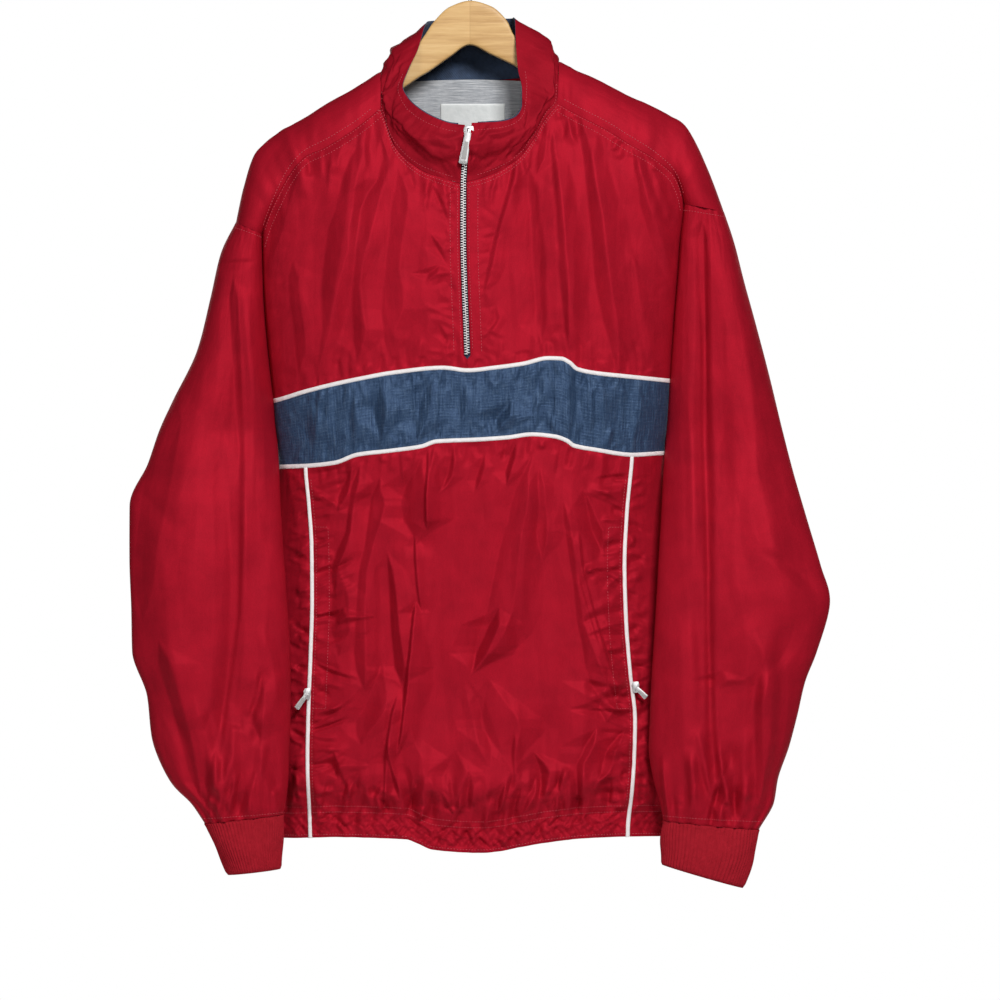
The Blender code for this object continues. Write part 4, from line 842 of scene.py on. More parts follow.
SLEEVE_CREASES = {
    -1: table(
        FOLD_COLUMNS,
        (-235, 320, -240, 540, 14, 20, 2.4, 0),
        (-221, 366, -212, 540, 5, 9, 1.8, 2),
        (-250, 340, -232, 330, 7, 7, -2.0, 0),
        (-240, 545, -252, 860, 9, 8, -3.6, 8),
        (-224, 560, -226, 760, 5, 14, 2.6, 4),
        (-214, 430, -204, 560, 5, 6, 1.8, 3),
        (-262, 470, -270, 700, 18, 12, 2.4, -4),
        (-288, 470, -318, 560, 9, 6, 1.6, -5),
        (-330, 560, -292, 600, 10, 8, -1.8, 4),
        (-308, 600, -296, 780, 14, 8, 2.2, 4),
        (-206, 738, -216, 782, 3, 10, -4.4, 3),
        (-203, 700, -190, 770, 6, 5, 2.2, 2),
        (-216, 780, -206, 812, 6, 5, -2.8, 0),
        (-236, 770, -232, 872, 6, 5, 2.6, 0),
        (-270, 770, -250, 874, 7, 5, 2.8, 3),
        (-206, 800, -206, 874, 5, 5, 2.4, 0),
        (-294, 780, -268, 868, 6, 9, -3.0, 4),
    ),
    1: table(
        FOLD_COLUMNS,
        (233, 292, 238, 876, 3, 2, -2.4, 1),
        (239, 292, 245, 870, 2, 16, 1.8, 1),
        (254, 300, 284, 540, 20, 14, 3.4, 6),
        (282, 520, 304, 640, 18, 12, 2.8, 0),
        (300, 622, 350, 668, 6, 8, -2.4, 4),
        (222, 300, 222, 460, 5, 8, 1.8, 2),
        (216, 450, 220, 620, 4, 8, 1.8, 2),
        (264, 640, 274, 780, 6, 9, 1.8, 5),
        (286, 706, 282, 784, 5, 10, 2.6, 10),
        (322, 690, 296, 740, 9, 7, -2.2, 5),
        (222, 650, 226, 800, 5, 9, -1.8, 3),
        (300, 736, 286, 866, 8, 5, 2.6, 4),
        (316, 740, 306, 840, 5, 8, 1.8, 3),
        (258, 812, 262, 886, 6, 6, -4.0, 0),
        (240, 800, 246, 880, 5, 5, -2.6, 0),
        (272, 800, 270, 884, 6, 5, 2.6, 0),
        (224, 800, 222, 878, 5, 6, 2.4, 0),
    ),
}


def arrays(x, drop):
    """Two numbers or arrays as float arrays of one shape."""
    return np.broadcast_arrays(np.asarray(x, float), np.asarray(drop, float))


def folds(x, drop, rows):
    """How far a table's folds lift the cloth: the sum, over its rows, of the fold's height times
    a crease's profile across its slanted, bowed line times a soft start and end along it. Folds
    that don't reach the box of the given places are passed over."""
    x, drop = arrays(x, drop)
    lift = np.zeros(x.shape)
    box = x.min(), x.max(), drop.min(), drop.max()
    columns = (rows[name] for name in FOLD_COLUMNS.split())
    for x0, start, x1, end, left, right, height, bow in zip(*columns):
        reach = 3 * max(left, right) + abs(bow)
        if max(x0, x1) + reach < box[0] or min(x0, x1) - reach > box[1]:
            continue
        if end + 0.2 * (end - start) < box[2] or start - 0.2 * (end - start) > box[3]:
            continue
        along = (drop - start) / (end - start)
        lean = (x1 - x0) / (end - start)
        off = (x - x0 - lean * (drop - start) - bow * np.sin(np.pi * along)) / np.hypot(1, lean)
        ends = smooth(along, -0.12, 0.2) * (1 - smooth(along, 0.75, 1.12))
        lift += height * ends * bump_at(off, np.where(off < 0, left, right))
    return lift


print("creases placed by hand on the back:", len(BACK_CREASES["x0"]))


# %% [markdown]
# ## The body as two depths
#
# front_y and back_y give the depth of the body's front and back at any place. A round profile
# across the body carries the folds, the gathers over the elastic hem and the puckers that a row
# of stitches draws up on each side of a seam.

# %% Lines and depths as functions
neck_drop = curve(NECK_LINE["x"], NECK_LINE["drop"])
band_top = curve(BAND_TOP["x"], BAND_TOP["drop"])
band_bottom = curve(BAND_BOTTOM["x"], BAND_BOTTOM["drop"])
hem_drop = curve(HEM_LINE["x"], HEM_LINE["drop"])
zip_x = curve(ZIP_LINE["drop"], ZIP_LINE["x"])
depth_front = curve(BODY_DEPTH["drop"], BODY_DEPTH["front"])
depth_back = curve(BODY_DEPTH["drop"], BODY_DEPTH["back"])
piping_x = {s: curve(t["drop"], t["x"]) for s, t in SIDE_PIPING.items()}
edge = {
    s: {name: curve(t["drop"], t[name]) for name in ("x", "front_y", "back_y")}
    for s, t in BODY_EDGE.items()
}


def edge_value(name, x, drop):
    """A column of the body's edge table, for the side that x is on."""
    return np.where(x < 0, edge[-1][name](drop), edge[1][name](drop))


def dense_line(side, place):
    """A shoulder piece's front or back seam as 160 points, in order of x."""
    x, drop = SHOULDER[side][f"{place}_x"], SHOULDER[side][f"{place}_drop"]
    number = np.arange(len(x))
    at = np.linspace(0, number[-1], 160)
    line = np.array([curve(number, x)(at), curve(number, drop)(at)])
    return line[:, ::-1] if side < 0 else line


SHOULDER_LINE = {side: dense_line(side, "front") for side in (-1, 1)}
BACK_LINE = {side: dense_line(side, "back") for side in (-1, 1)}


def gathers(x, above_hem):
    """Waves that the hem's elastic draws up: a sine along x whose phase wanders, full at the
    top seam and gone 48 mm above the elastic."""
    rise = 1 - smooth(above_hem, HEM_HEIGHT + 6, HEM_HEIGHT + 48)
    depth = GATHER_DEPTH * rise * (0.6 + 0.4 * smooth(above_hem, 10, HEM_HEIGHT))
    phase = x / GATHER_WAVE + 0.35 * np.sin(x / 43) + 0.2 * np.sin(x / 17)
    return depth * np.sin(2 * np.pi * phase) * (1 + 0.35 * np.sin(x / 29))


def tuck(above_hem):
    """How far the hem's elastic pulls the cloth back in under the blousing."""
    return TUCK_DEPTH * (1 - smooth(above_hem, HEM_HEIGHT - 10, HEM_HEIGHT + 34))


def puckers(along, off, pitch, reach, height):
    """Short ripples square to a row of stitches: a wandering sine along it that dies away as
    exp(-distance / reach)."""
    phase = along / pitch + 0.7 * np.sin(along / (2.3 * pitch)) + 0.3 * np.sin(along / pitch)
    swell = 0.55 + 0.45 * np.sin(along / (3.7 * pitch) + 1.3)
    return height * swell * np.sin(2 * np.pi * phase) * np.exp(-np.abs(off) / reach)


def body_profile(x, drop, depth, edge_y):
    """Across the body: edge_y at the sides and depth in the middle, as (1 - share ^ 3) ^ power,
    where share is the way from the middle to the side; also how much of a fold shows there."""
    share = np.clip(np.abs(x) / edge_value("x", x, drop), 0, 1)
    power = 0.6 + 0.2 * smooth(drop, PIT, PIT + 130)
    return edge_y + (depth - edge_y) * (1 - share**3) ** power, 1 - share**6


# %% [markdown]
# The large folds of the front and of the sleeves are flat facets with sharp sides. Each row is
# one facet that rises evenly from its left side to its right side, and so turns its face to
# the left; a negative one falls instead. It begins with how steep the facet is; then come its
# places (drop, left, right) down the cloth. Beyond its sides the cloth falls back gently to
# where it was.

# %% Facets listed one by one
FRONT_FACETS = (
    (0.30, (205, -192, -182), (230, -194, -186), (252, -197, -189)),
    (0.55, (226, -177, -165), (250, -184, -172), (270, -190, -178), (300, -199, -186),
     (330, -207, -197), (352, -209, -203)),
    (0.30, (222, -140, -137), (250, -143, -139), (264, -142, -140)),
    (0.42, (196, -113, -106), (220, -114, -107), (240, -123, -110), (260, -129, -114),
     (280, -133, -116), (300, -141, -120), (320, -143, -121), (340, -146, -126),
     (360, -147, -131), (380, -147, -136), (400, -146, -138), (420, -150, -144), (446, -153, -151)),
    (0.42, (328, -178, -175), (345, -181, -170), (360, -180, -170), (380, -178, -167),
     (400, -175, -164), (420, -173, -163), (444, -174, -166)),
    (0.32, (206, -91, -86), (230, -86, -80), (250, -91, -84), (264, -101, -88), (280, -108, -92),
     (300, -111, -97), (320, -113, -103), (340, -115, -107), (360, -117, -109),
     (380, -117, -107), (400, -116, -103), (420, -115, -106), (436, -115, -109)),
    (0.26, (236, -76, -67), (260, -75, -62), (280, -78, -62), (300, -80, -65), (320, -82, -68),
     (340, -84, -70), (360, -86, -66), (380, -87, -66), (400, -86, -74), (438, -81, -75)),
    (0.45, (248, -43, -40), (265, -34, -30), (280, -27, -23), (296, -22, -19)),
    (0.50, (304, -43, -36), (320, -32, -27), (336, -24, -20)),
    (0.45, (336, -33, -25), (345, -41, -33), (353, -46, -40)),
    (0.40, (392, -34, -29), (406, -27, -22), (418, -22, -18)),
    (0.55, (230, 44, 48), (250, 40, 44), (270, 35, 39), (290, 29, 33), (305, 25, 29),
     (320, 21, 26), (335, 18, 23), (350, 15, 19), (368, 12, 14)),
    (0.40, (188, 74, 78), (210, 70, 76), (230, 66, 74), (247, 63, 69)),
    (0.34, (238, 55, 62), (260, 58, 68), (280, 60, 69), (300, 62, 72), (320, 62, 75),
     (340, 63, 76), (360, 65, 76), (380, 66, 77), (400, 66, 76), (417, 68, 75)),
    (0.52, (196, 80, 83), (220, 80, 84), (240, 82, 87), (260, 84, 90), (280, 86, 92),
     (300, 86, 94), (320, 88, 95), (340, 88, 97), (360, 90, 98), (380, 92, 98), (400, 94, 99),
     (422, 96, 100)),
    (0.42, (186, 107, 112), (210, 110, 117), (230, 113, 121), (250, 115, 124), (270, 117, 128),
     (290, 119, 132), (310, 121, 134), (330, 122, 136), (350, 124, 139), (370, 128, 142),
     (390, 132, 146), (410, 138, 148), (430, 142, 148), (442, 144, 147)),
    (0.32, (325, 159, 164), (350, 162, 167), (370, 164, 169), (390, 167, 174), (410, 171, 179),
     (434, 176, 180)),
    (0.60, (213, 160, 163), (235, 163, 168), (255, 167, 173), (275, 169, 178), (295, 175, 185),
     (315, 181, 192), (335, 189, 198), (350, 196, 204), (366, 201, 206)),
    (0.36, (222, 171, 176), (245, 178, 184), (265, 185, 192), (285, 193, 198), (300, 198, 203)),
    (0.36, (372, 24, 27), (390, 26, 30), (400, 20, 24), (416, 14, 17)),
    (0.50, (534, -112, -106), (560, -118, -112), (580, -121, -116), (600, -123, -118),
     (620, -132, -124), (636, -137, -131), (652, -137, -132), (668, -134, -133)),
    (0.60, (534, -118, -114), (550, -124, -118), (566, -131, -122), (581, -137, -127)),
    (0.22, (638, -138, -122), (670, -137, -120), (700, -137, -119), (726, -138, -122)),
    (0.60, (675, -127, -122), (684, -133, -122), (695, -136, -131)),
    (0.34, (544, -92, -86), (560, -97, -86), (575, -99, -84), (592, -101, -89), (612, -104, -95),
     (640, -110, -102), (680, -113, -104), (720, -115, -103), (740, -112, -103), (762, -106, -101)),
    (0.55, (616, -84, -82), (640, -81, -76), (660, -80, -73), (680, -79, -71), (700, -78, -69),
     (720, -76, -66), (740, -74, -63), (754, -69, -65)),
    (0.30, (524, -52, -41), (550, -62, -43), (570, -68, -43.5), (590, -66, -43), (604, -60, -46),
     (619, -58, -54)),
    (1.10, (513, -42.5, -40.5), (540, -43, -41), (565, -45, -42.5), (590, -44.5, -42),
     (602, -43, -42)),
    (0.90, (603, -56, -54), (630, -55, -53), (650, -53.5, -51.5), (670, -51, -49), (684, -46, -45)),
    (1.30, (667, -54, -52.5), (680, -57, -54.5), (700, -59, -56.5), (720, -61, -58),
     (735, -63, -60), (750, -65, -61), (765, -66, -62.5), (780, -67, -64.5), (800, -69.5, -67),
     (822, -73, -71)),
    (0.95, (762, -73, -71), (780, -78.5, -76), (800, -82, -79.5), (820, -85, -82),
     (840, -85.5, -83), (860, -86.5, -83.5), (874, -86, -83)),
    (0.90, (800, -82, -80), (820, -83, -80.5), (836, -79, -76), (850, -75, -71), (868, -70, -67)),
    (0.85, (789, -61, -57), (800, -64, -53), (815, -70, -49), (830, -74, -46), (845, -72, -45),
     (860, -66, -42), (872, -60, -37), (884, -52, -33)),
    (0.34, (722, -90, -84), (740, -92, -83), (760, -98, -82), (775, -104, -83), (790, -118, -88),
     (802, -122, -92), (814, -116, -99)),
    (0.32, (522, 59, 68), (545, 50, 59), (560, 45, 58), (575, 41, 57), (590, 38, 54),
     (605, 33, 51), (620, 29, 49), (640, 25, 47), (660, 21, 45), (680, 17, 42), (700, 10, 34),
     (720, 4, 22), (735, -1, 13), (746, -5, 2)),
    (0.55, (674, 27, 32), (690, 20, 30), (705, 14, 24), (720, 7, 17), (740, -1, 7)),
    (0.34, (536, 66, 72), (560, 68, 74), (580, 69, 76), (600, 66, 77), (620, 69, 75),
     (634, 70, 73)),
    (0.34, (568, 89, 95), (590, 93, 99), (610, 96, 102), (630, 99, 105), (650, 102, 106),
     (670, 104, 110), (690, 106, 113), (710, 111, 120), (730, 114, 128), (745, 118, 134),
     (760, 122, 138), (773, 126, 136)),
    (-0.60, (600, 107, 110), (640, 111.5, 114), (660, 117, 119.5), (680, 122, 124.5),
     (700, 128, 130.5), (720, 134, 137), (737, 138.5, 141)),
    (-0.45, (640, 105, 108), (660, 111, 113.5), (680, 117, 119), (700, 123, 125), (716, 128, 130)),
    (0.62, (556, 111, 114), (575, 116, 121), (590, 119, 127), (600, 122, 132), (612, 127, 133),
     (627, 131, 133)),
    (0.75, (733, 134, 139), (750, 137, 145), (762, 140, 150), (772, 142, 148)),
    (0.85, (763, 128, 137), (776, 128, 143), (790, 130, 140)),
    (0.62, (795, 122, 130), (806, 117, 126), (820, 112, 119), (830, 106, 113), (845, 106, 112),
     (860, 107, 112), (872, 106, 114)),
    (0.75, (797, 150, 158), (808, 141, 152), (818, 136, 144), (830, 132, 142), (840, 130, 138),
     (848, 124, 130), (858, 121, 124)),
    (0.75, (818, 58, 68), (830, 66, 76), (840, 71, 79), (850, 71, 77), (862, 69, 75),
     (876, 71, 76)),
    (0.70, (847, 33, 38), (860, 30, 35), (872, 27, 32), (882, 26, 30)),
    (0.70, (850, 50, 53), (864, 47, 50), (878, 42, 46)),
    (0.75, (842, 64, 68), (856, 61, 66), (866, 56, 62), (880, 50, 55)),
    (0.55, (848, 85, 91), (862, 80, 84), (874, 76, 79)),
    (0.42, (798, 42, 47), (820, 41, 45), (840, 43, 45), (852, 43, 45)),
    (0.42, (836, -2, 3), (850, -1, 4), (862, -2, 4), (878, -3, 2)),
    (0.16, (816, -21, -6), (835, -24, -3), (850, -26, -3), (864, -22, -4)),
    (0.60, (856, -31, -27), (868, -26, -21), (882, -18, -12)),
    (0.60, (860, -12, -8), (872, -14, -10), (884, -16, -12)),
    (0.60, (844, -122, -119), (856, -125, -121), (870, -129, -125)),
    (0.60, (846, -88, -84), (856, -92, -88), (868, -98, -93)),
    (0.75, (818, -138, -132), (832, -137, -129), (848, -131, -129)),
    (0.50, (514, -18, -14), (530, -19, -15), (545, -22, -17), (556, -28, -22), (562, -34, -27)),
    (0.38, (522, 13, 17), (535, 10, 15), (550, 6, 11), (564, 3, 7)),
    (0.60, (510, 44, 48), (525, 40, 45), (540, 36, 41), (557, 35, 38)),
    (0.30, (514, -38, -34), (530, -40, -37), (545, -41, -39)),
    (-0.16, (745, -8, 0), (780, 2, 12), (800, 6, 17), (835, 15, 27)),
    (0.14, (745, 0, 36), (780, 10, 46), (800, 14, 52), (836, 24, 58)),
    (0.36, (454, -92, -84), (480, -95, -82), (512, -90, -85)),
    (0.40, (442, -40, -34), (460, -46, -36), (490, -53, -42), (513, -56, -50)),
    (0.48, (466, 42, 47), (485, 29, 40), (507, 18, 26)),
    (0.36, (436, 71, 76), (460, 66, 74), (482, 59, 67)),
    (0.32, (440, 112, 118), (470, 109, 120), (507, 114, 119)),
    (0.36, (450, 160, 166), (480, 156, 167), (514, 158, 163)),
    (0.32, (470, -160, -154), (495, -163, -152), (524, -158, -153)),
    (0.28, (462, -118, -113), (490, -120, -110), (518, -116, -112)),
    (0.34, (445, -12, -7), (470, -10, -2), (496, -13, -6)),
)
SLEEVE_FACETS = {
    -1: (
        (0.40, (348, -240, -232), (400, -238, -229), (460, -234, -226), (520, -229, -224),
         (600, -228, -222), (680, -230, -226), (740, -238, -233), (790, -246, -240),
         (840, -258, -249), (872, -262, -256)),
        (0.26, (450, -300, -285), (500, -312, -288), (560, -325, -298), (620, -332, -310),
         (690, -333, -316)),
        (0.45, (708, -314, -302), (740, -306, -292), (770, -296, -284), (800, -288, -276),
         (830, -280, -270), (870, -268, -262)),
        (0.50, (776, -262, -250), (820, -262, -250), (870, -262, -254)),
        (0.70, (736, -206, -203), (770, -214, -203), (790, -216, -204), (812, -208, -203)),
    ),
    1: (
        (0.45, (290, 228, 236), (360, 229, 237), (420, 232, 238), (500, 232, 238), (560, 233, 237),
         (640, 236, 238.5), (700, 236, 239), (760, 240, 243), (820, 242, 247), (862, 246, 252)),
        (0.40, (738, 244, 256), (756, 240, 250)),
        (0.60, (735, 284, 290), (760, 281, 290), (800, 281, 290), (840, 283, 291), (872, 282, 288)),
        (0.50, (796, 221, 226), (830, 226, 232), (864, 235, 241)),
    ),
}
STEEPER = 2.2  # how much steeper than its row says every facet stands
TALLEST = 6.5  # no facet rises further than this, in mm
FALL_BACK = 0.22  # slope at which the cloth beside a facet falls back


def steep_facets(x, drop, rows):
    """The lift of a table's facets: steep times the way from a facet's middle line while
    between its sides, and less by FALL_BACK times the way beyond them, down to nothing. Towards
    both of its ends a facet narrows to a point."""
    x, drop = arrays(x, drop)
    lift = np.zeros(x.shape)
    for steep, *places in rows:
        at, left, right = np.array(places).T
        widest = (right - left).max()
        slope = min(STEEPER * abs(steep), 2 * TALLEST / widest)
        taper = min(10 + 0.9 * widest, 0.45 * (at[-1] - at[0]))
        inside = (drop > at[0]) & (drop < at[-1])
        if not inside.any():
            continue
        down, across = drop[inside], x[inside]
        low, high = np.interp(down, at, left), np.interp(down, at, right)
        point = np.clip(np.minimum(down - at[0], at[-1] - down) / taper, 0, 1)
        half, off = (high - low) / 2 * point, across - (low + high) / 2
        rise = np.minimum(slope * np.abs(off), slope * half - FALL_BACK * (np.abs(off) - half))
        lift[inside] += np.sign(steep * off) * np.maximum(rise, 0)
    return lift


print("facets placed by hand in front:", len(FRONT_FACETS))

# %% [markdown]
# Beside a seam, and above the hem and cuffs, the cloth breaks into many short folds, because the
# stitches or the elastic draw it up. They are drawn from a seeded generator, so they come out
# the same each time; each set has its own place, length, lean, width and height.


# %% Short folds beside the seams
def jittered(seed, low, high, pitch):
    """Places about pitch apart from low to high, each moved by up to 0.45 of it."""
    places = np.arange(low, high, pitch)
    return places + np.random.default_rng(seed).uniform(-0.45, 0.45, len(places)) * pitch


def drawn_folds(seed, x, drop, length, lean, width, height, upwards=False):
    """One fold from each (x, drop), down or up the cloth: its length, lean in degrees, half
    widths and height are drawn from ranges, and half of them are dents."""
    draw = np.random.default_rng(seed)
    x, drop = arrays(x, drop)
    count = len(x)
    long = draw.uniform(*length, count)
    shift = np.tan(np.radians(draw.uniform(*lean, count))) * long
    tall = draw.uniform(*height, count) * draw.choice([-1, 1], count)
    left, right = draw.uniform(*width, (2, count))
    bow = draw.uniform(-0.06, 0.06, count) * long
    ends = (x + shift, drop - long, x, drop) if upwards else (x, drop, x + shift, drop + long)
    return dict(zip(FOLD_COLUMNS.split(), (*ends, left, right, tall, bow)))


def joined(*tables):
    """Several tables of folds as one."""
    return {k: np.concatenate([rows[k] for rows in tables]) for k in FOLD_COLUMNS.split()}


def scattered(seed, count, x_range, drop_range, length, lean, width, height):
    """Folds that start anywhere in a rectangle."""
    draw = np.random.default_rng(seed)
    places = draw.uniform(*x_range, count), draw.uniform(*drop_range, count)
    return drawn_folds(seed + 1, *places, length, lean, width, height)


def hem_folds(seed):
    """Folds that rise out of the hem's elastic, and the slanted crumples of its casing."""
    x = jittered(seed, -214, 214, 7.5)
    rising = drawn_folds(seed + 1, x, hem_drop(x) - HEM_HEIGHT + 5, (12, 52), (-20, 20),
                         (2.0, 5.5), (0.8, 2.8), True)
    sets = [rising]
    for k, (above, way) in enumerate(((22, 1), (25, -1), (13, 1), (15, -1))):
        x = jittered(seed + 3 + k, -214, 214, 6.0)
        sets.append(drawn_folds(seed + 7 + k, x, hem_drop(x) - above, (7, 13),
                                sorted((way * 25, way * 55)), (1.2, 2.0), (0.45, 1.0)))
    return joined(*sets)


def below_seam(seed, line, pitch, **shape):
    """Short folds along a seam given as points (x, drop)."""
    at = jittered(seed, 0, len(line[0]) - 1, pitch)
    number = np.arange(len(line[0]))
    x, drop = (np.interp(at, number, places) for places in line)
    return drawn_folds(seed + 1, x, drop, **shape)


x = spread(-196, 196, 2)
neck_x = spread(-86, 86, 1)
LOOSE = {"length": (8, 36), "lean": (-16, 16), "width": (1.8, 4.2), "height": (0.3, 1.0)}
SHORT = {"length": (6, 22), "lean": (-26, 26), "width": (1.2, 2.8), "height": (0.4, 1.1)}
FRONT_FINE = joined(
    scattered(3, 60, (-215, 215), (200, 850), (50, 160), (-10, 10), (4, 9), (0.2, 0.6)),
    hem_folds(31),
    below_seam(51, (x, band_bottom(x) + 1), 3.5, **LOOSE),
    below_seam(53, (x, band_top(x) - 1), 3.5, upwards=True, **LOOSE),
    below_seam(55, (x, band_top(x) + 2), 3.2, **SHORT),
    below_seam(57, (x, band_bottom(x) - 2), 3.2, upwards=True, **SHORT),
    scattered(59, 26, (-190, 195), (440, 446), (52, 64), (-5, 5), (1.0, 3.5), (0.4, 1.0)),
    below_seam(61, (neck_x, neck_drop(neck_x) + 2), 6.5, **LOOSE),
    *(below_seam(63 + side, SHOULDER_LINE[side] + np.array([[0], [3]]), 8, length=(10, 60),
                 lean=(-16, 16), width=(2.2, 6), height=(0.5, 1.8)) for side in (-1, 1)),
)


def across_piping(side, seed):
    """Level folds on both sides of a piping, as (drop, x) in the places of (x, drop)."""
    sets = []
    outer, inner = (-side, (9, 44), (1.2, 3.6)), (side, (8, 26), (1.2, 3.4))
    for k, (way, length, height) in enumerate((outer, inner)):
        drop = jittered(seed + k, 545, 884, 5.5)
        sets.append(drawn_folds(seed + 5 + k, drop, piping_x[side](drop) + 1.5 * way, length,
                                (-32, 32), (1.4, 4.2), height, way < 0))
    return sets


def across_zip(side, seed):
    """Level folds that run out from the stitches beside the zip."""
    drop = jittered(seed, 262, ZIP_END, 6.0)
    return drawn_folds(seed + 1, drop, zip_x(drop) + 9 * side, (8, 30), (-38, 38), (1.5, 3.6),
                       (0.4, 1.2), side < 0)


def across_armhole(side, seed):
    """Level folds that run in from an armhole's seam."""
    drop = jittered(seed, 230, PIT + 60, 9.0)
    start = side * (edge[side]["x"](drop) - 3)
    return drawn_folds(seed + 1, drop, start, (8, 34), (-35, 35), (1.8, 4.5), (0.5, 1.6), side > 0)


FRONT_ACROSS = joined(
    *across_piping(-1, 71), *across_piping(1, 81), across_zip(-1, 91), across_zip(1, 93),
    across_armhole(-1, 95), across_armhole(1, 97),
)
BACK_FINE = joined(
    BACK_CREASES,
    scattered(5, 190, (-215, 215), (165, 850), (40, 170), (-12, 12), (3, 8), (0.4, 1.5)),
    hem_folds(131),
    *(below_seam(151 + side, BACK_LINE[side] + np.array([[0], [2]]), 8, length=(10, 60),
                 lean=(-16, 16), width=(2.2, 6), height=(0.5, 1.7)) for side in (-1, 1)),
)
BACK_ACROSS = joined(across_armhole(-1, 195), across_armhole(1, 197))


def sleeve_folds(side):
    """A sleeve's creases, with long faint ones and those that the cuff draws up."""
    if side < 0:
        low, high, cuff_low, cuff_high, bottom = -335, -190, -265, -187, 884
    else:
        low, high, cuff_low, cuff_high, bottom = 192, 350, 190, 288, 889
    x = jittered(7 + side, cuff_low, cuff_high, 5.0)
    return joined(
        SLEEVE_CREASES[side],
        scattered(17 + side, 44, (low, high), (290, 850), (40, 160), (-10, 10), (4, 9), (0.1, 0.4)),
        drawn_folds(27 + side, x, bottom, (16, 75), (-16, 16), (2.2, 5.5), (1.2, 3.2), True),
    )


SLEEVE_FINE = {side: sleeve_folds(side) for side in (-1, 1)}
print("short folds:", len(FRONT_FINE["x0"]) + len(FRONT_ACROSS["x0"]), "in front")

# %% [markdown]
# Stiff nylon crumples into flat facets with sharp edges between them. Scatter two sets of
# points. At any place, take the squared distance to the nearest point of each set. Each one
# grows with the square of the way, but their difference is linear, and stays so until the
# nearest point changes. So the difference is a surface of flat facets.


# %% Facets
def nearest_squared(u, v, jitter):
    """Squared distance to the nearest scattered point, one in each unit cell."""
    cell_u, cell_v = np.floor(u).astype(int), np.floor(v).astype(int)
    best = np.full(u.shape, 9.0)
    for i in (-1, 0, 1):
        for j in (-1, 0, 1):
            put = jitter[(cell_u + i) % len(jitter), (cell_v + j) % len(jitter)]
            away = (cell_u + i + put[..., 0] - u) ** 2 + (cell_v + j + put[..., 1] - v) ** 2
            best = np.minimum(best, away)
    return best


def facets(seed, x, drop, wide, tall):
    """About -0.5 to 0.5: facets some wide x tall millimetres, without curved parts."""
    x, drop = arrays(x, drop)
    draw = np.random.default_rng(seed)
    one, two = (nearest_squared(x / wide, drop / tall, draw.random((61, 61, 2))) for _ in (0, 1))
    return one - two


def body_facets(seed, x, drop, above_hem):
    """Long facets on the open cloth, short ones over the hem and tiny ones in its casing."""
    low = 1 - smooth(above_hem, HEM_HEIGHT + 5, HEM_HEIGHT + 60)
    casing = 1 - smooth(above_hem, HEM_HEIGHT - 6, HEM_HEIGHT + 2)
    beside = smooth(np.abs(x), 140, 172) * smooth(drop, 520, 560)
    open_cloth = 0.8 * facets(seed, x, drop, 46, 170) + 0.4 * facets(seed + 1, x, drop, 15, 50)
    return (
        open_cloth * (1 - casing) + 2.4 * (low - casing) * facets(seed + 2, x, drop, 13, 30)
        + 1.3 * casing * facets(seed + 3, x, drop, 6, 8)
        + 1.4 * beside * facets(seed + 4, x, drop, 19, 11)
    )


# %% Depth of the front and of the back
CREASE_GAIN = {"front": 2.1, "back": 1.2, "sleeve": 1.4}  # on the short folds' drawn heights
FACET_SHARE = {"chest": 0.75, "lower": 1.0, "back": 0.7, "sleeve": 0.7}  # of the tables' facets


def off_piping(x, drop):
    """0 on a piping of the front and 1 from 7 mm beside it: a cord keeps its seam smooth."""
    near = np.minimum(np.abs(drop - band_top(x)), np.abs(drop - band_bottom(x)))
    for side in (-1, 1):
        beside = np.abs(x - piping_x[side](drop)) + 99 * (drop < band_bottom(x))
        near = np.minimum(near, beside)
    return smooth(near, 0.5, 7)


def front_y(x, drop, fine=True):
    """Depth of the body's front, which faces -y: the profile, less the folds."""
    above_hem = hem_drop(x) - drop
    base, inner = body_profile(x, drop, -depth_front(drop), edge_value("front_y", x, drop))
    lift = folds(x, drop, FRONT_FOLDS) + gathers(x, above_hem) - tuck(above_hem)
    if fine:
        small = CREASE_GAIN["front"] * folds(x, drop, FRONT_FINE) + folds(drop, x, FRONT_ACROSS)
        small = small + body_facets(301, x, drop, above_hem)
        more = FACET_SHARE["lower"] - FACET_SHARE["chest"]
        share = FACET_SHARE["chest"] + more * smooth(drop, 430, 500)
        small = small + share * steep_facets(x, drop, FRONT_FACETS)
        lift = lift + small * off_piping(x, drop)
    zip_calm = 1 - np.exp(-((x / 14) ** 2)) * (1 - smooth(drop, 415, 440))
    return base - lift * inner * zip_calm


def back_y(x, drop, fine=True):
    """Depth of the body's back, which faces +y: the profile, plus the folds. Its steep facets
    are the front's, mirrored and moved a little."""
    above_hem = hem_drop(x) - drop
    base, inner = body_profile(x, drop, depth_back(drop), edge_value("back_y", x, drop))
    lift = folds(x, drop, BACK_FOLDS) + gathers(x + 7, above_hem) - tuck(above_hem)
    if fine:
        lift = lift + CREASE_GAIN["back"] * folds(x, drop, BACK_FINE)
        lift = lift + folds(drop, x, BACK_ACROSS) + body_facets(311, x, drop, above_hem)
        lift = lift + FACET_SHARE["back"] * steep_facets(14 - x, drop + 11, FRONT_FACETS)
    return base + lift * inner * smooth(drop, 165, 215)


print("chest stands off", -float(front_y(80.0, 400.0)), "mm")

# %% [markdown]
# ## Sewn panels
#
# A panel is bounded by four seam lines. Its two parameters run from the left line to the right
# and from the top line to the bottom. Each edge is turned under by most of a millimetre, so a
# seam reads as the fine groove that it is on the real garment.


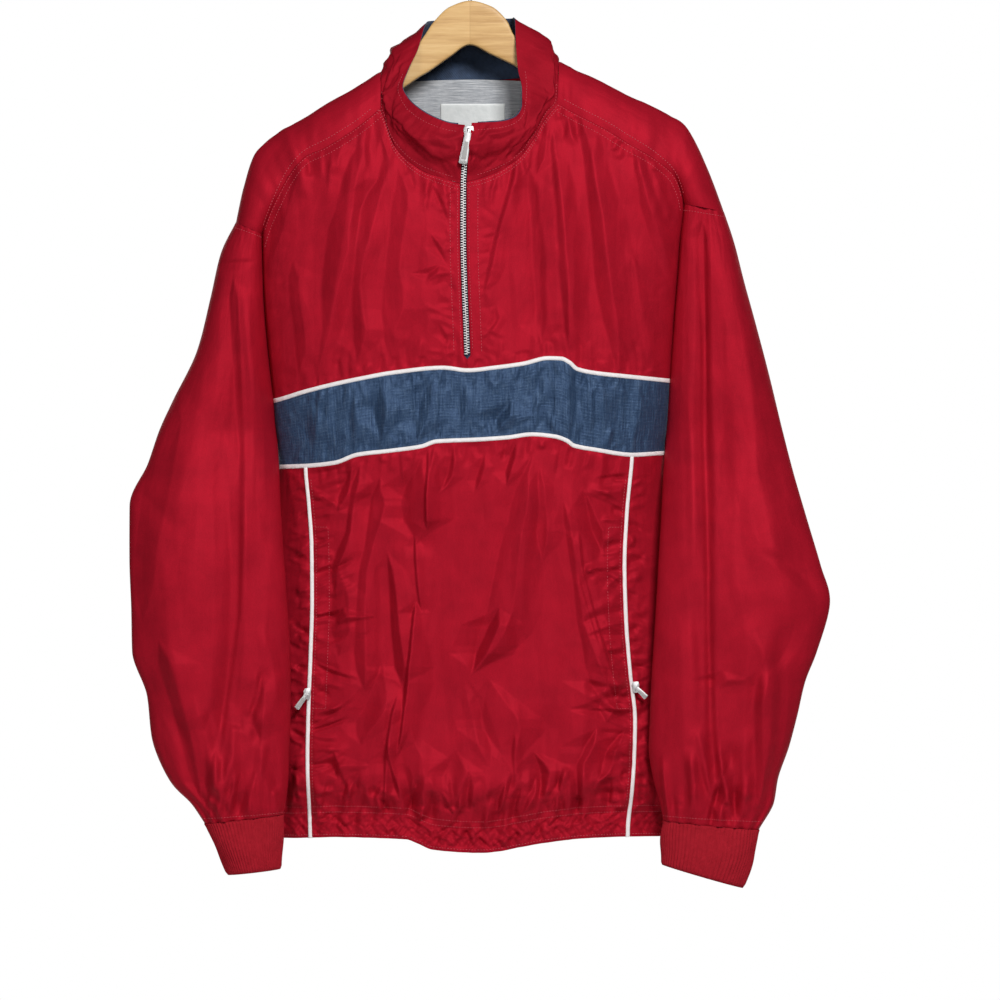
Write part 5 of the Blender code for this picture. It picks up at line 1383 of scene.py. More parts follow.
# %% Panels between four lines
def panel(left, right, top, bottom, depth):
    """A piece of the front or the back: x is blended between left(drop) and right(drop), and
    drop between top(x) and bottom(x); repeating both a few times settles them together."""

    def surface(u, v):
        x, drop = np.broadcast_arrays(200 * (u - 0.5), 500.0 + 0 * v)
        for _ in range(12):
            drop = top(x) * (1 - v) + bottom(x) * v
            x = left(drop) * (1 - u) + right(drop) * u
        return to_points(x, drop, depth(x, drop))

    return surface


def turned_under(points, edges, into, depth=0.9):
    """Pushes a grid's edge rows or columns along into, so that the seam there is a groove."""
    step = np.array(into, float) * depth
    points = points.copy()
    for side in edges:
        first = {"top": np.s_[0], "bottom": np.s_[-1], "left": np.s_[:, 0], "right": np.s_[:, -1]}
        second = {"top": np.s_[1], "bottom": np.s_[-2], "left": np.s_[:, 1], "right": np.s_[:, -2]}
        points[first[side]] += step
        points[second[side]] += 0.3 * step
    return points


def sample(surface, columns, rows):
    """A surface on an even grid, both ways from 0 to 1."""
    return surface(*np.meshgrid(np.linspace(0, 1, columns + 1), np.linspace(0, 1, rows + 1)))


FRONT, BACK = (0, -1, 0), (0, 1, 0)
INTO_FRONT, INTO_BACK = (0, 1, 0), (0, -1, 0)
cloth_area = {}


def sewn(name, points, material, nodes, outwards, wall=0.0, closed=False):
    """A sewn piece that stands for the given solids; its measured area is kept for its cut."""
    item = grid_object(name, points, material, outwards, wall, closed)
    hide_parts(*nodes)
    normal = np.cross(np.diff(points, axis=1)[:-1], np.diff(points, axis=0)[:, :-1])
    cloth_area[name] = float(np.linalg.norm(normal, axis=-1).sum()) * MM * MM
    return item


def shell(name, points, nodes, outwards):
    """A sewn piece of the red nylon."""
    return sewn(name, points, red_nylon, nodes, outwards)


print("a panel's edges are turned under by 0.9 mm")


# %% Lines that bound the front
def body_side(side, straight_above=0.0):
    """The body's side edge along the drop, held straight above a given drop."""
    return lambda drop: side * edge[side]["x"](np.maximum(drop, straight_above))


def front_top(side):
    """The upper panel's top line: the shoulder seam, then the neck seam."""
    peak = SHOULDER[side]["front_x"][0]

    def drop(x):
        on_shoulder = x < peak if side < 0 else x > peak
        return np.where(on_shoulder, np.interp(x, *SHOULDER_LINE[side]), neck_drop(x))

    return drop


def beside_zip(side):
    """The folded edge beside the zip's teeth, and the plain seam below them."""
    def x(drop):
        slot = 1 - smooth(drop, ZIP_END, ZIP_END + 5)
        return zip_x(drop) + side * (ZIP_SLOT / 2 * slot + 0.05)

    return x


# %% The upper fronts
SIDES = ((-1, "left"), (1, "right"))

for side, word in SIDES:
    outer = body_side(side, SHOULDER[side]["front_drop"][-1])
    inner = beside_zip(side)
    left, right = (outer, inner) if side < 0 else (inner, outer)
    points = sample(panel(left, right, front_top(side), band_top, front_y), 150, 180)
    points = turned_under(points, ("top", "left", "right"), INTO_FRONT)
    shell(f"upper_front_{word}_cloth", points, [f"front_upper_{word}"], FRONT)
print("upper fronts:", {k: round(v, 3) for k, v in cloth_area.items()}, "square metres")

# %% [markdown]
# The chest band is one strip from armhole to armhole. Below it the front is three pieces with a
# white piping in each of the two seams, and a closed pocket behind each piping.

# %% Chest band
points = sample(panel(body_side(-1), body_side(1), band_top, band_bottom, front_y), 240, 44)
sewn("chest_band_cloth", points, navy_ripstop, ["chest_band"], FRONT)

# %% Lower front and side fronts
middle = panel(piping_x[-1], piping_x[1], band_bottom, hem_drop, front_y)
points = turned_under(sample(middle, 288, 338), ("bottom",), INTO_FRONT)
shell("lower_front_cloth", points, ["front_lower"], FRONT)
for side, word in SIDES:
    left, right = (body_side(-1), piping_x[-1]) if side < 0 else (piping_x[1], body_side(1))
    points = sample(panel(left, right, band_bottom, hem_drop, front_y), 54, 290)
    points = turned_under(points, ("bottom", "left" if side < 0 else "right"), INTO_FRONT)
    shell(f"side_front_{word}_cloth", points, [f"side_front_{word}"], FRONT)
print("lower front:", round(cloth_area["lower_front_cloth"], 3), "square metres")


# %% Back panel
def back_seams(x):
    """The shoulder pieces' back seams, with the neck seam between them."""
    on_neck = COLLAR["place"] > 0
    neck = np.array([COLLAR["neck_x"][on_neck], COLLAR["neck_drop"][on_neck]])
    line = np.concatenate([BACK_LINE[-1][:, :-1], neck, BACK_LINE[1][:, 1:]], axis=1)
    return np.interp(x, *line)


sides = [body_side(side, SHOULDER[side]["front_drop"][-1]) for side in (-1, 1)]
points = sample(panel(*sides, back_seams, hem_drop, back_y), 180, 270)
points = turned_under(points, ("top", "bottom", "left", "right"), INTO_BACK)
shell("back_cloth", points, ["back_panel"], BACK)
print("back:", round(cloth_area["back_cloth"], 3), "square metres")

# %% [markdown]
# ## Shoulders and sleeves
#
# A shoulder piece lies over the hanger's arm, from the front seam over a ridge to the back seam.
# At the neck it leaves the seams flat, like a quarter of an ellipse; towards the armhole it
# rounds into half an ellipse. A sleeve is two such halves, front and back.


# %% Arcs from a seam to a ridge
def arc(start, end, bulge, rounding, turn, out):
    """From a seam to a ridge, turn going from 0 to 1: sin and 1 - cos of a quarter turn where
    rounding is 0, and half a turn that stands bulge off the line where it is 1."""
    flat, full = np.sin(turn * np.pi / 2), (1 - np.cos(np.pi * turn)) / 2
    across = (1 - rounding) * flat + rounding * full
    deep = (1 - rounding) * (1 - np.cos(turn * np.pi / 2)) + rounding * full
    x = start[0] + (end[0] - start[0]) * across
    drop = start[1] + (end[1] - start[1]) * across
    y = start[2] + (end[2] - start[2]) * deep + out * bulge * np.sin(np.pi * turn) * rounding
    return x, drop, y


def between_rows(rows):
    """A function from a share of the way through a table, 0 to 1, to smooth values of all its
    columns there; also the number of its last row, counted from 0."""
    number = np.arange(len(next(iter(rows.values()))))
    last = number[-1]
    columns = {name: curve(number, values) for name, values in rows.items()}
    return lambda share: {name: value(share * last) for name, value in columns.items()}, last


YOKE_CREASES = {
    -1: table("v0 slope width height", (0.12, 0.10, 0.03, 0.9), (0.36, -0.12, 0.04, -1.1),
              (0.52, 0.16, 0.03, 1.2), (0.66, -0.08, 0.04, -1.3), (0.8, 0.10, 0.03, 1.2)),
    1: table("v0 slope width height", (0.10, -0.12, 0.03, 0.9), (0.30, 0.12, 0.04, -1.0),
             (0.47, -0.10, 0.03, 1.1), (0.63, 0.12, 0.03, -1.2), (0.82, -0.06, 0.03, 1.2)),
}


YOKE_LONG, YOKE_WIDE = 150, 90  # a shoulder piece's size, in mm along v and u


def shoulder_surface(side):
    """A shoulder piece from its front seam (u 0) over the ridge (u 0.5) to its back seam, and
    from the neck (v 0) to the armhole; creases and facets lift it square to its arc."""
    row_at, _ = between_rows(SHOULDER[side])

    def surface(u, v):
        row = row_at(v)
        ridge = (row["ridge_x"], row["ridge_drop"], 0)
        halves = []
        ways = (("front", front_y, 2 * u, -1), ("back", back_y, 2 - 2 * u, 1))
        for end, depth, turn, out in ways:
            x, drop = row[f"{end}_x"], row[f"{end}_drop"]
            halves.append(to_points(*arc((x, drop, depth(x, drop)), ridge, row["bulge"],
                                         row["round"], np.clip(turn, 0, 1), out)))
        points = np.where((u <= 0.5)[..., None], *halves)
        lift = 0
        for v0, slope, width, height in zip(*YOKE_CREASES[side].values()):
            lift = lift + height * bump_at(v - v0 - slope * (u - 0.5), width)
        off = np.minimum(u, 1 - u) * 60
        lift = lift + puckers(v * YOKE_LONG, off - 4, 11.0, 7.0, 0.7)
        lift = lift + 2.0 * facets(341 + side, v * YOKE_LONG, u * YOKE_WIDE, 20, 34)
        lift = lift * np.sin(np.pi * u) ** 0.5 * np.sin(np.pi * v) ** 0.3
        points[..., 1] -= np.cos(np.pi * u) * lift
        points[..., 2] += np.sin(np.pi * u) * lift * 0.6
        return points

    return surface


for side, word in SIDES:
    points = sample(shoulder_surface(side), 84, 90)
    points = turned_under(points, ("left", "right", "top", "bottom"), (0, 0, -1), 0.8)
    shell(f"shoulder_{word}_cloth", points, [f"yoke_{word}"], (0.6 * side, 0, 1))
print("shoulders:", round(cloth_area["shoulder_left_cloth"], 3), "square metres each")


# %% Sleeves
def sleeve_surface(side, half):
    """Half of a sleeve, from its inner side (u 0) over its front or back to its outer side:
    half an ellipse at each row, lifted by folds and drawn into gathers above the cuff. The back
    half has the front's folds, weaker and a little shifted."""
    out = -1 if half == "front" else 1
    row_at, last = between_rows(SLEEVE[side])

    def surface(u, v):
        row = row_at(v)
        inner = (row["in_x"], row["in_drop"], row[f"{half}_y"])
        outer = (row["out_x"], row["out_drop"], row["out_y"])
        x, drop, y = arc(inner, outer, row["depth"], 1, u, out)
        share, shift = (1, 0) if half == "front" else (0.7, 6)
        lift = share * folds(x, drop, SLEEVE_FOLDS[side])
        near_cuff = 1 - smooth(v * last, last - 1.5, last)
        fine = CREASE_GAIN["sleeve"] * folds(x + shift, drop + 2 * shift, SLEEVE_FINE[side])
        low = smooth(v * last, last - 3, last - 1)
        fine = fine + 0.8 * (1 - low) * facets(321 + side + 5 * shift, x, drop, 34, 150)
        fine = fine + FACET_SHARE["sleeve"] * steep_facets(x + shift, drop, SLEEVE_FACETS[side])
        fine = fine + 1.9 * low * facets(331 + side + 5 * shift, x, drop, 13, 32)
        gather = smooth(v * last, last - 3.2, last - 0.6)
        waves = 1.8 * gather * np.sin(2 * np.pi * (8 * u + 0.12 * np.sin(9 * u)))
        seam = puckers(x, v * last * 30, 9.0, 12.0, 0.5)
        calm = np.sin(np.pi * u) ** 0.7
        return to_points(x, drop, y + out * (lift * near_cuff + fine + waves + seam) * calm)

    return surface


HALVES = (("front", FRONT), ("back", BACK))
SLEEVE_CELLS = {"front": (120, 330), "back": (64, 180)}
for side, word in SIDES:
    for half, outwards in HALVES:
        points = sample(sleeve_surface(side, half), *SLEEVE_CELLS[half])
        points = turned_under(points, ("top", "bottom"), -np.array(outwards), 0.7)
        nodes = [f"sleeve_{word}_{half}_{part}" for part in ("upper", "elbow", "lower")]
        shell(f"sleeve_{word}_{half}_cloth", points, nodes, outwards)
print("sleeve halves:", round(cloth_area["sleeve_left_front_cloth"], 3), "square metres each")

# %% [markdown]
# A rib cuff is knitted in ridges and furrows that run down it. They are in the mesh: a small
# wave round the ring, seven points to a ridge.


# %% Rib cuffs
RIBS = 66
RIB_TALL = 0.42
CUFF_WALL = 1.6


def cuff_surface(side):
    """A ring round each row's ellipse, pushed out by a sine with RIBS waves to the turn."""
    row_at, _ = between_rows(CUFF[side])

    def surface(u, v):
        row = row_at(v)
        turn = 2 * np.pi * u
        share = (1 - np.cos(turn)) / 2
        rib = RIB_TALL * np.sin(RIBS * turn) * (0.75 + 0.25 * np.sin(9 * v + 5 * u))
        roll = 1.2 * smooth(v, 0.93, 1) - 0.5 * (1 - smooth(v, 0, 0.06))
        slack = 1.1 * np.sin(3 * turn + 4 * v) * np.sin(np.pi * v) - roll
        x = row["in_x"] + (row["out_x"] - row["in_x"]) * share
        x = x - np.cos(turn) * (rib + slack) * side
        drop = row["in_drop"] + (row["out_drop"] - row["in_drop"]) * share
        return to_points(x, drop, row["y"] - (row["depth"] + rib + slack) * np.sin(turn))

    return surface


for side, word in SIDES:
    points = sample(cuff_surface(side), RIBS * 7, 16)
    sewn(f"cuff_{word}_rib", points, red_rib, [f"cuff_{word}"], None,
         wall=CUFF_WALL, closed=True)
print("cuffs:", RIBS, "ribs each")

# %% [markdown]
# ## Collar and neck
#
# The collar stands on the neck seam and leans in towards its top edge. A navy facing lines it
# and shows as a thin line along the edge. Behind it the back neck is lined with jersey.


# %% Collar
FRONT_OF_RIDGE = (7, 19)  # the stations on the front ends of the two shoulder pieces


def neck_depth():
    """Depth of the neck seam at each station of the collar, on the cloth it is sewn to."""
    x, drop, place = COLLAR["neck_x"], COLLAR["neck_drop"], COLLAR["place"]
    depth = np.where(place < 0, front_y(x, drop, False), back_y(x, drop, False))
    for i in np.flatnonzero(place == 0):
        rows = SHOULDER[-1 if x[i] < 0 else 1]
        ridge = rows["ridge_drop"][0]
        end = "front" if drop[i] > ridge and i in FRONT_OF_RIDGE else "back"
        seam_x, seam_drop = rows[f"{end}_x"][0], rows[f"{end}_drop"][0]
        seam_y = (front_y if end == "front" else back_y)(seam_x, seam_drop, False)
        turn = np.arcsin(np.clip((seam_drop - drop[i]) / (seam_drop - ridge), 0, 1))
        depth[i] = seam_y * np.cos(turn)
    return depth


COLLAR_STEP, COLLAR_TALL = 17.0, 56.0  # a station's length and the collar's height
COLLAR_SLUMP = 6.2  # how far the collar bulges where it sinks into itself
collar_row, COLLAR_LAST = between_rows({**COLLAR, "neck_y": neck_depth()})
COLLAR_LONG = COLLAR_LAST * COLLAR_STEP
COLLAR_CREASES = joined(
    scattered(201, 64, (0, COLLAR_LONG), (-6, 44), (10, 34), (-55, 55), (1.6, 4.2), (0.8, 2.6)),
    scattered(203, 60, (0, COLLAR_LONG), (-8, 0), (7, 18), (-30, 30), (1.4, 3.0), (0.4, 1.2)),
)
COLLAR_LEVEL = scattered(
    205, 30, (6, 44), (0, COLLAR_LONG), (16, 46), (-24, 24), (1.8, 4.0), (0.6, 2.0)
)


def collar_surface(u, v, crumple=1.0):
    """From the neck seam (v 0) to the top edge (v 1), round the neck from the zip's left edge
    (u 0) to its right: a straight blend that bows outwards and slumps over its middle, with
    creases and facets of which crumple is the share."""
    row = collar_row(u)
    x = row["neck_x"] * (1 - v) + row["top_x"] * v
    drop = row["neck_drop"] * (1 - v) + row["top_drop"] * v
    y = row["neck_y"] * (1 - v) + row["top_y"] * v
    along, up = u * COLLAR_LAST * COLLAR_STEP, v * COLLAR_TALL
    held = np.sin(np.pi * np.clip(v, 0, 1)) ** 0.6
    slump = (COLLAR_SLUMP + 2.0 * np.sin(along / 23)) * bump_at(
        v - 0.55 - 0.08 * np.sin(along / 31), 0.26
    )
    small = folds(along, up, COLLAR_CREASES) + folds(up, along, COLLAR_LEVEL)
    small = small + 5.0 * facets(351, along, up, 25, 16) + 1.5 * facets(353, along, up, 11, 10)
    bow = row["bow"] * 4 * v * (1 - v) + crumple * (small + slump) * held
    reach = np.hypot(row["neck_x"], row["neck_y"])
    return to_points(x + bow * row["neck_x"] / reach, drop, y + bow * row["neck_y"] / reach)


def inwards_of(points, distance):
    """A grid moved towards the neck by a distance, which may differ from row to row."""
    normal = grid_normals(points)
    if np.sum(normal * (points - points.mean(axis=(0, 1)))) < 0:
        normal = -normal
    return points - normal * distance


points = sample(collar_surface, 300, 40)
sewn("collar_cloth", turned_under(points, ("top",), (0, 0, -1), 0.4), collar_nylon_painted_shade,
     ["collar"], None)
rows = np.linspace(0, 1, 25)[:, None, None]
inset = 1.9 - 1.25 * smooth(rows, 0.9, 1.0)
u, v = np.meshgrid(np.linspace(0.02, 0.98, 201), np.linspace(0, 1, 25))
lining = inwards_of(collar_surface(u, v, 0.6), inset)
lining[..., 2] += 1.1 * smooth(rows[..., 0], 0.93, 1.0)
sewn("collar_facing_cloth", lining, navy_facing, ["collar_facing"], None, 0.6)
print("collar:", round(cloth_area["collar_cloth"], 4), "square metres")

# %% Jersey lining and label at the back neck
def inner_back(x, drop):
    """The lining hangs two walls inside the back panel, with level ripples of its own, and
    gives way where a crease of the panel reaches further in."""
    ripples = 0.5 * np.sin(drop / 9 + 1.2 * np.sin(x / 31))
    return np.minimum(back_y(x, drop, False) - 3.2 + ripples, back_y(x, drop) - 1.4)


def still(value):
    """A line that stays at one x or one drop."""
    return lambda along: 0 * along + value


lining = panel(still(-77), still(77), lambda x: 146.5 + 4 * (x / 80) ** 2,
               lambda x: 262 - 18 * (x / 86) ** 2, inner_back)
sewn("neck_jersey", sample(lining, 70, 52), marl_jersey, ["neck_lining"],
     FRONT, 0.8)


def label_y(x, drop):
    """The label hangs a millimetre off the lining and ripples towards its lower edge."""
    return inner_back(x, drop) - 1.0 + 0.25 * np.sin(x / 5.0) * smooth(drop, 176, 205)


label = panel(still(-30), still(35), still(170.5), still(211), label_y)
points = turned_under(sample(label, 40, 26), ("top", "left", "right"), INTO_FRONT, 0.35)
sewn("blank_label", points, label_satin, ["neck_label"], FRONT, 0.35)
print("label:", 65, "x", 40, "mm")

# %% [markdown]
# ## Piping
#
# Piping is a cord in a folded strip of cloth, caught in the seam. A half round profile is
# carried along each seam line: its middle stands 1.2 mm off the cloth and its edges sink in.


# %% Piping beads
BEAD_TALL, BEAD_SUNK, BEAD_WALL = 1.7, 0.5, 0.35
BEAD_STEP = 1.6  # between a bead's points along its seam


def unit(vectors):
    """Vectors scaled to length 1."""
    return vectors / np.linalg.norm(vectors, axis=-1, keepdims=True)


def bead(node, x, drop):
    """A half round along a seam of the front: its nine points go over by the cosine of half a
    turn and out by BEAD_TALL times its sine to the power 0.8, less BEAD_SUNK."""
    path = to_points(x, drop, front_y(x, drop))
    across = unit(np.cross(np.gradient(path, axis=0), FRONT))
    turn = np.linspace(0, np.pi, 9)[None, :, None]
    along = np.linspace(0, 1, len(path))[:, None, None]
    wobble = 1 + 0.03 * np.sin(along * 190) * np.sin(along * 37)
    rise = BEAD_TALL * wobble * np.sin(turn) ** 0.8 - BEAD_SUNK
    points = path[:, None] + across[:, None] * np.cos(turn) * PIPING / 2 + np.array(FRONT) * rise
    sewn(f"{node}_bead", points, white_piping, [node], FRONT, BEAD_WALL)


BAND_ENDS = (("top", band_top, -196.5, 199.5), ("bottom", band_bottom, -191.5, 194))
for word, line, low, high in BAND_ENDS:
    x = spread(low, high, BEAD_STEP)
    for _ in range(4):
        low, high = -edge[-1]["x"](line(x[:1])), edge[1]["x"](line(x[-1:]))
        x = np.linspace(low[0], high[0], len(x))
    bead(f"piping_band_{word}", x, line(x))
for side, word in SIDES:
    drop = spread(float(band_bottom(piping_x[side](530.0))) + 1.6, 905.5, BEAD_STEP)
    x = piping_x[side](drop)
    bead(f"piping_side_{word}", x, np.minimum(drop, hem_drop(x) + 0.3))
print("piping beads:", PIPING, "mm wide")

# %% [markdown]
# ## Stitches
#
# Rows of stitches hold each seam down. One stitch is a small spindle of thread with eight
# faces; a row repeats it along a path, a little apart, each lying along the path.


# %% Rows of stitches
STITCH_PITCH = 3.1
STITCH_SIZE = (1.1, 0.31, 0.42)  # half its length, half its width and its height
SPINDLE = np.array([(1, 0, 0), (-1, 0, 0), (0, 1, 0), (0, -1, 0), (0, 0, 1), (0, 0, -1)], float)
SPINDLE_FACES = np.array(
    [(0, 2, 4), (2, 1, 4), (1, 3, 4), (3, 0, 4), (2, 0, 5), (1, 2, 5), (3, 1, 5), (0, 3, 5)]
)


def way_along(path):
    """The length of a path up to each of its points."""
    return np.concatenate([[0], np.cumsum(np.linalg.norm(np.diff(path, axis=0), axis=1))])


def points_at(path, at):
    """The points of a path at given lengths along it."""
    length = way_along(path)
    return np.stack([np.interp(at, length, column) for column in path.T], -1)


def along_path(path, pitch):
    """Places and directions each pitch apart along a path of points."""
    at = np.arange(pitch / 2, way_along(path)[-1], pitch)
    place = points_at(path, at)
    return place, unit(points_at(path, at + 0.4) - place + 1e-9)


def stitch_rows(name, paths, out):
    """Spindles along every path: each is scaled to the stitch and turned so that its length
    follows the path and its height stands out of the cloth."""
    places, directions = zip(*(along_path(path, STITCH_PITCH) for path in paths))
    place, ahead = np.concatenate(places), np.concatenate(directions)
    side = unit(np.cross(unit(np.array(out, float)), ahead))
    turned = np.stack([ahead, side, np.cross(ahead, side)], axis=1)
    points = place[:, None] + np.einsum("ij,njk->nik", SPINDLE * STITCH_SIZE, turned)
    faces = SPINDLE_FACES + 6 * np.arange(len(place))[:, None, None]
    mesh_object(name, points.reshape(-1, 3), faces.reshape(-1, 3), red_thread)
    print(name, len(place), "stitches")


def on_front(x, drop):
    """Points a little in front of the front's cloth."""
    x, drop = arrays(x, drop)
    return to_points(x, drop, front_y(x, drop) - 0.1)


def on_back(x, drop):
    """Points a little behind the back's cloth."""
    return to_points(x, drop, back_y(x, drop) + 0.1)


def under_seam(seam, distance):
    """A shoulder seam moved down by a distance square to it, as far as the body's sides."""
    x, drop = seam[0], seam[1] + distance * np.sqrt(1 + np.gradient(seam[1], seam[0]) ** 2)
    keep = np.abs(x) < edge_value("x", x, drop) - 3
    return x[keep], drop[keep]


# %% Stitches of the front
HEM_ROWS = (3.0, HEM_HEIGHT - 6.0, HEM_HEIGHT)  # above the hem's edge
POCKET_TOP, POCKET_LOW, POCKET_BOX = 596, 776, 17.0  # drops and width of a pocket's stitched box

paths = []
for side in (-1, 1):
    paths += [on_front(*under_seam(SHOULDER_LINE[side], distance)) for distance in (2.0, 8.0)]
    drop = spread(259, 421, 3)
    far = 14.5 if side > 0 else 13.0
    paths += [on_front(zip_x(drop) + side * off, drop) for off in (5.6, far)]
    drop = spread(548, 868, 3)
    paths.append(on_front(piping_x[side](drop) - side * 4.2, drop))
    drop = spread(POCKET_TOP, POCKET_LOW, 3)
    paths.append(on_front(piping_x[side](drop) - side * POCKET_BOX, drop))
    for end in (POCKET_TOP, POCKET_LOW):
        seam_x = float(piping_x[side](end))
        paths.append(on_front(spread(seam_x - side * POCKET_BOX, seam_x - side * 3, 2), end))
x = spread(-93, 90, 2.0)
x = x[np.abs(x + 2) > 9]
paths += [on_front(x, neck_drop(x) + distance) for distance in (3.0, 6.5)]
x = spread(-212, 212, 3.0)
paths += [on_front(x, hem_drop(x) - above) for above in HEM_ROWS]
stitch_rows("front_stitches", paths, FRONT)

u = spread(0.02, 0.98, 0.008)
on_collar = [collar_surface(u, 0 * u + v) for v in (0.07, 0.87)]
for (word, out), way in zip(HALVES, (-1, 1)):
    parts = []
    for path in on_collar:
        path = path[way * path[:, 1] > 20]
        gaps = np.flatnonzero(np.linalg.norm(np.diff(path, axis=0), axis=1) > 12)
        parts += np.split(path, 1 + gaps)
    stitch_rows(f"collar_stitches_{word}", parts, out)

# %% Stitches of the back, sleeves and shoulders
paths = [on_back(x, hem_drop(x) - above) for above in HEM_ROWS]
paths += [on_back(*under_seam(BACK_LINE[side], 3.0)) for side in (-1, 1)]
stitch_rows("back_stitches", paths, BACK)
u, v = np.linspace(0.04, 0.97, 80), np.linspace(0.05, 0.93, 90)
for half, out in HALVES:
    paths = [sleeve_surface(side, half)(u, 0 * u + row) + 0.15 * np.array(out)
             for side in (-1, 1) for row in (0.012, 0.982)]
    stitch_rows(f"sleeve_stitches_{half}", paths, out)
paths = [shoulder_surface(side)(0 * v + over, v) + (0, off, 0.1)
         for side in (-1, 1) for over, off in ((0.05, -0.25), (0.95, 0.25))]
stitch_rows("shoulder_stitches", paths, (0, -0.3, 1))

# %% [markdown]
# ## Zips
#
# A tape on each side carries a row of teeth, and the rows interlock in the middle: left and
# right teeth alternate, one every 2.6 mm in each row. The two tapes are one strip here. The
# slider has closed the teeth up to the collar's top edge.


# %% Zip tape and teeth
def collar_and_chest(drop):
    """Depth of the cloth along the zip: the collar's front down to the neck, then the chest."""
    v = np.clip((253 - drop) / (253 - COLLAR_TOP), 0, 1)
    on_collar = front_y(-6.0, 253.0, False) * (1 - v) - 51 * v - 4 * v * (1 - v)
    blend = smooth(drop, 250, 258)
    return on_collar * (1 - blend) + front_y(0 * drop, drop, False) * blend


off, drop = np.meshgrid(np.linspace(-8.2, 8.2, 13), spread(COLLAR_TOP + 1, ZIP_END + 6, 1.5))
tape = to_points(zip_x(drop) + off, drop, collar_and_chest(drop) + 2.3)
sewn("zip_tape_strip", tape, zip_tape_cloth, ["zip_tape"], FRONT, 0.5)

TOOTH_PITCH = 2.6
TOOTH = np.array([  # a tooth's outline: x from the teeth's middle line, and drop
    (-2.9, -0.75), (-0.9, -0.62), (0.75, -0.8), (0.75, 0.8), (-0.9, 0.62), (-2.9, 0.75),
])
TOOTH_CENTRE = np.array([-1.1, 0])
TOOTH_LAYERS = ((1.0, 1.5), (1.0, -0.15), (0.72, -0.75))  # size of the outline, depth


def teeth(side):
    """Blocks with a head that reaches past the middle line, bevelled at the front: three layers
    of one six-cornered outline, the front one smaller."""
    at = np.arange(COLLAR_TOP + 14 + (TOOTH_PITCH / 2 if side > 0 else 0), ZIP_END, TOOTH_PITCH)
    block = [(TOOTH - TOOTH_CENTRE) * size + TOOTH_CENTRE for size, _ in TOOTH_LAYERS]
    block = np.concatenate(block)
    depth = np.repeat([depth for _, depth in TOOTH_LAYERS], 6)
    x, drop = zip_x(at)[:, None] - side * block[:, 0], at[:, None] + block[:, 1]
    points = to_points(x, drop, collar_and_chest(at)[:, None] + 0.2 + depth)
    ring = np.arange(6)
    after = (ring + 1) % 6
    walls = [np.stack([ring, after, after + 6, ring + 6], -1) + 6 * k for k in (0, 1)]
    ends = np.array([(12, 13, 16, 17), (13, 14, 15, 16), (5, 4, 1, 0), (4, 3, 2, 1)])
    faces = np.concatenate([*walls, ends])
    if side > 0:
        faces = faces[:, ::-1]
    faces = faces + 18 * np.arange(len(at))[:, None, None]
    return points.reshape(-1, 3), faces.reshape(-1, 4)


left_points, left_faces = teeth(-1)
right_points, right_faces = teeth(1)
points = np.concatenate([left_points, right_points])
faces = np.concatenate([left_faces, right_faces + len(left_points)])
item = mesh_object("zip_teeth", points, faces, zip_silver, smooth_faces=False)
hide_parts("zip_chain")
print("teeth:", len(faces) // 16)

# %% [markdown]
# The slider is a cast body with a bridge over it; its tab hangs from the bridge and swings on
# its own. Each pocket's zip ends in a smaller slider with a bright tab.


# %% Slabs with rounded edges
def rounded_plate(outline, low_y, high_y, round_off):
    """A plate between two depths from an outline of x and drop: its edge steps in by round_off
    at both faces, along the outline's own inward direction."""
    outline = np.asarray(outline, float)
    ahead = unit(np.roll(outline, -1, axis=0) - np.roll(outline, 1, axis=0))
    inward = np.stack([ahead[:, 1], -ahead[:, 0]], -1)
    if np.sum(inward * (outline.mean(axis=0) - outline)) < 0:
        inward = -inward
    half = round_off * 0.29
    steps = ((round_off, low_y), (half, low_y + half), (0, low_y + round_off),
             (0, high_y - round_off), (half, high_y - half), (round_off, high_y))
    return np.stack([to_points(*(outline + inward * step).T, y) for step, y in steps])


def plate_object(name, rings, material, body=GARMENT, nodes=()):
    """Rings of one outline joined by quads, each end closed by a fan to its middle."""
    count, corners = rings.shape[:2]
    centre = np.stack([rings[0].mean(axis=0), rings[-1].mean(axis=0)])
    points = np.concatenate([rings.reshape(-1, 3), centre])
    quads = grid_faces(count, corners, closed=True)
    ring = np.arange(corners)
    first = np.stack([(ring + 1) % corners, ring, ring * 0 + count * corners], -1)
    last = np.stack([ring, (ring + 1) % corners, ring * 0 + 1], -1) + (count - 1) * corners
    last[:, 2] = count * corners + 1
    triangles = np.concatenate([first, last])
    faces = [tuple(face) for face in quads.tolist() + triangles.tolist()]
    a, b, c = (points[np.concatenate([quads[:, [0, 1, 2]], quads[:, [0, 2, 3]], triangles])[:, k]]
               for k in range(3))
    if np.sum(a * np.cross(b, c)) < 0:
        faces = [face[::-1] for face in faces]
    mesh = bpy.data.meshes.new(name)
    mesh.from_pydata(points * MM, [], faces)
    mesh.shade_smooth()
    mesh.set_sharp_from_angle(angle=np.radians(40))
    item = placed(name, mesh, material, body)
    if nodes:
        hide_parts(*nodes)


def solid_box(node):
    """A solid's lowest and highest corner, in millimetres."""
    return [np.array(corner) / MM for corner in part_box(node)]


def slider_outline(low, high, insets, foot):
    """A slider seen from the front: four corners down each side, set in from its box's sides,
    the second 3 mm below its top and the third foot above its bottom."""
    drops = (-high[2], -high[2] + 3, -low[2] - foot, -low[2])
    right = [(high[0] - inset, drop) for inset, drop in zip(insets, drops)]
    left = [(low[0] + inset, drop) for inset, drop in zip(insets, drops)]
    return right + left[::-1]


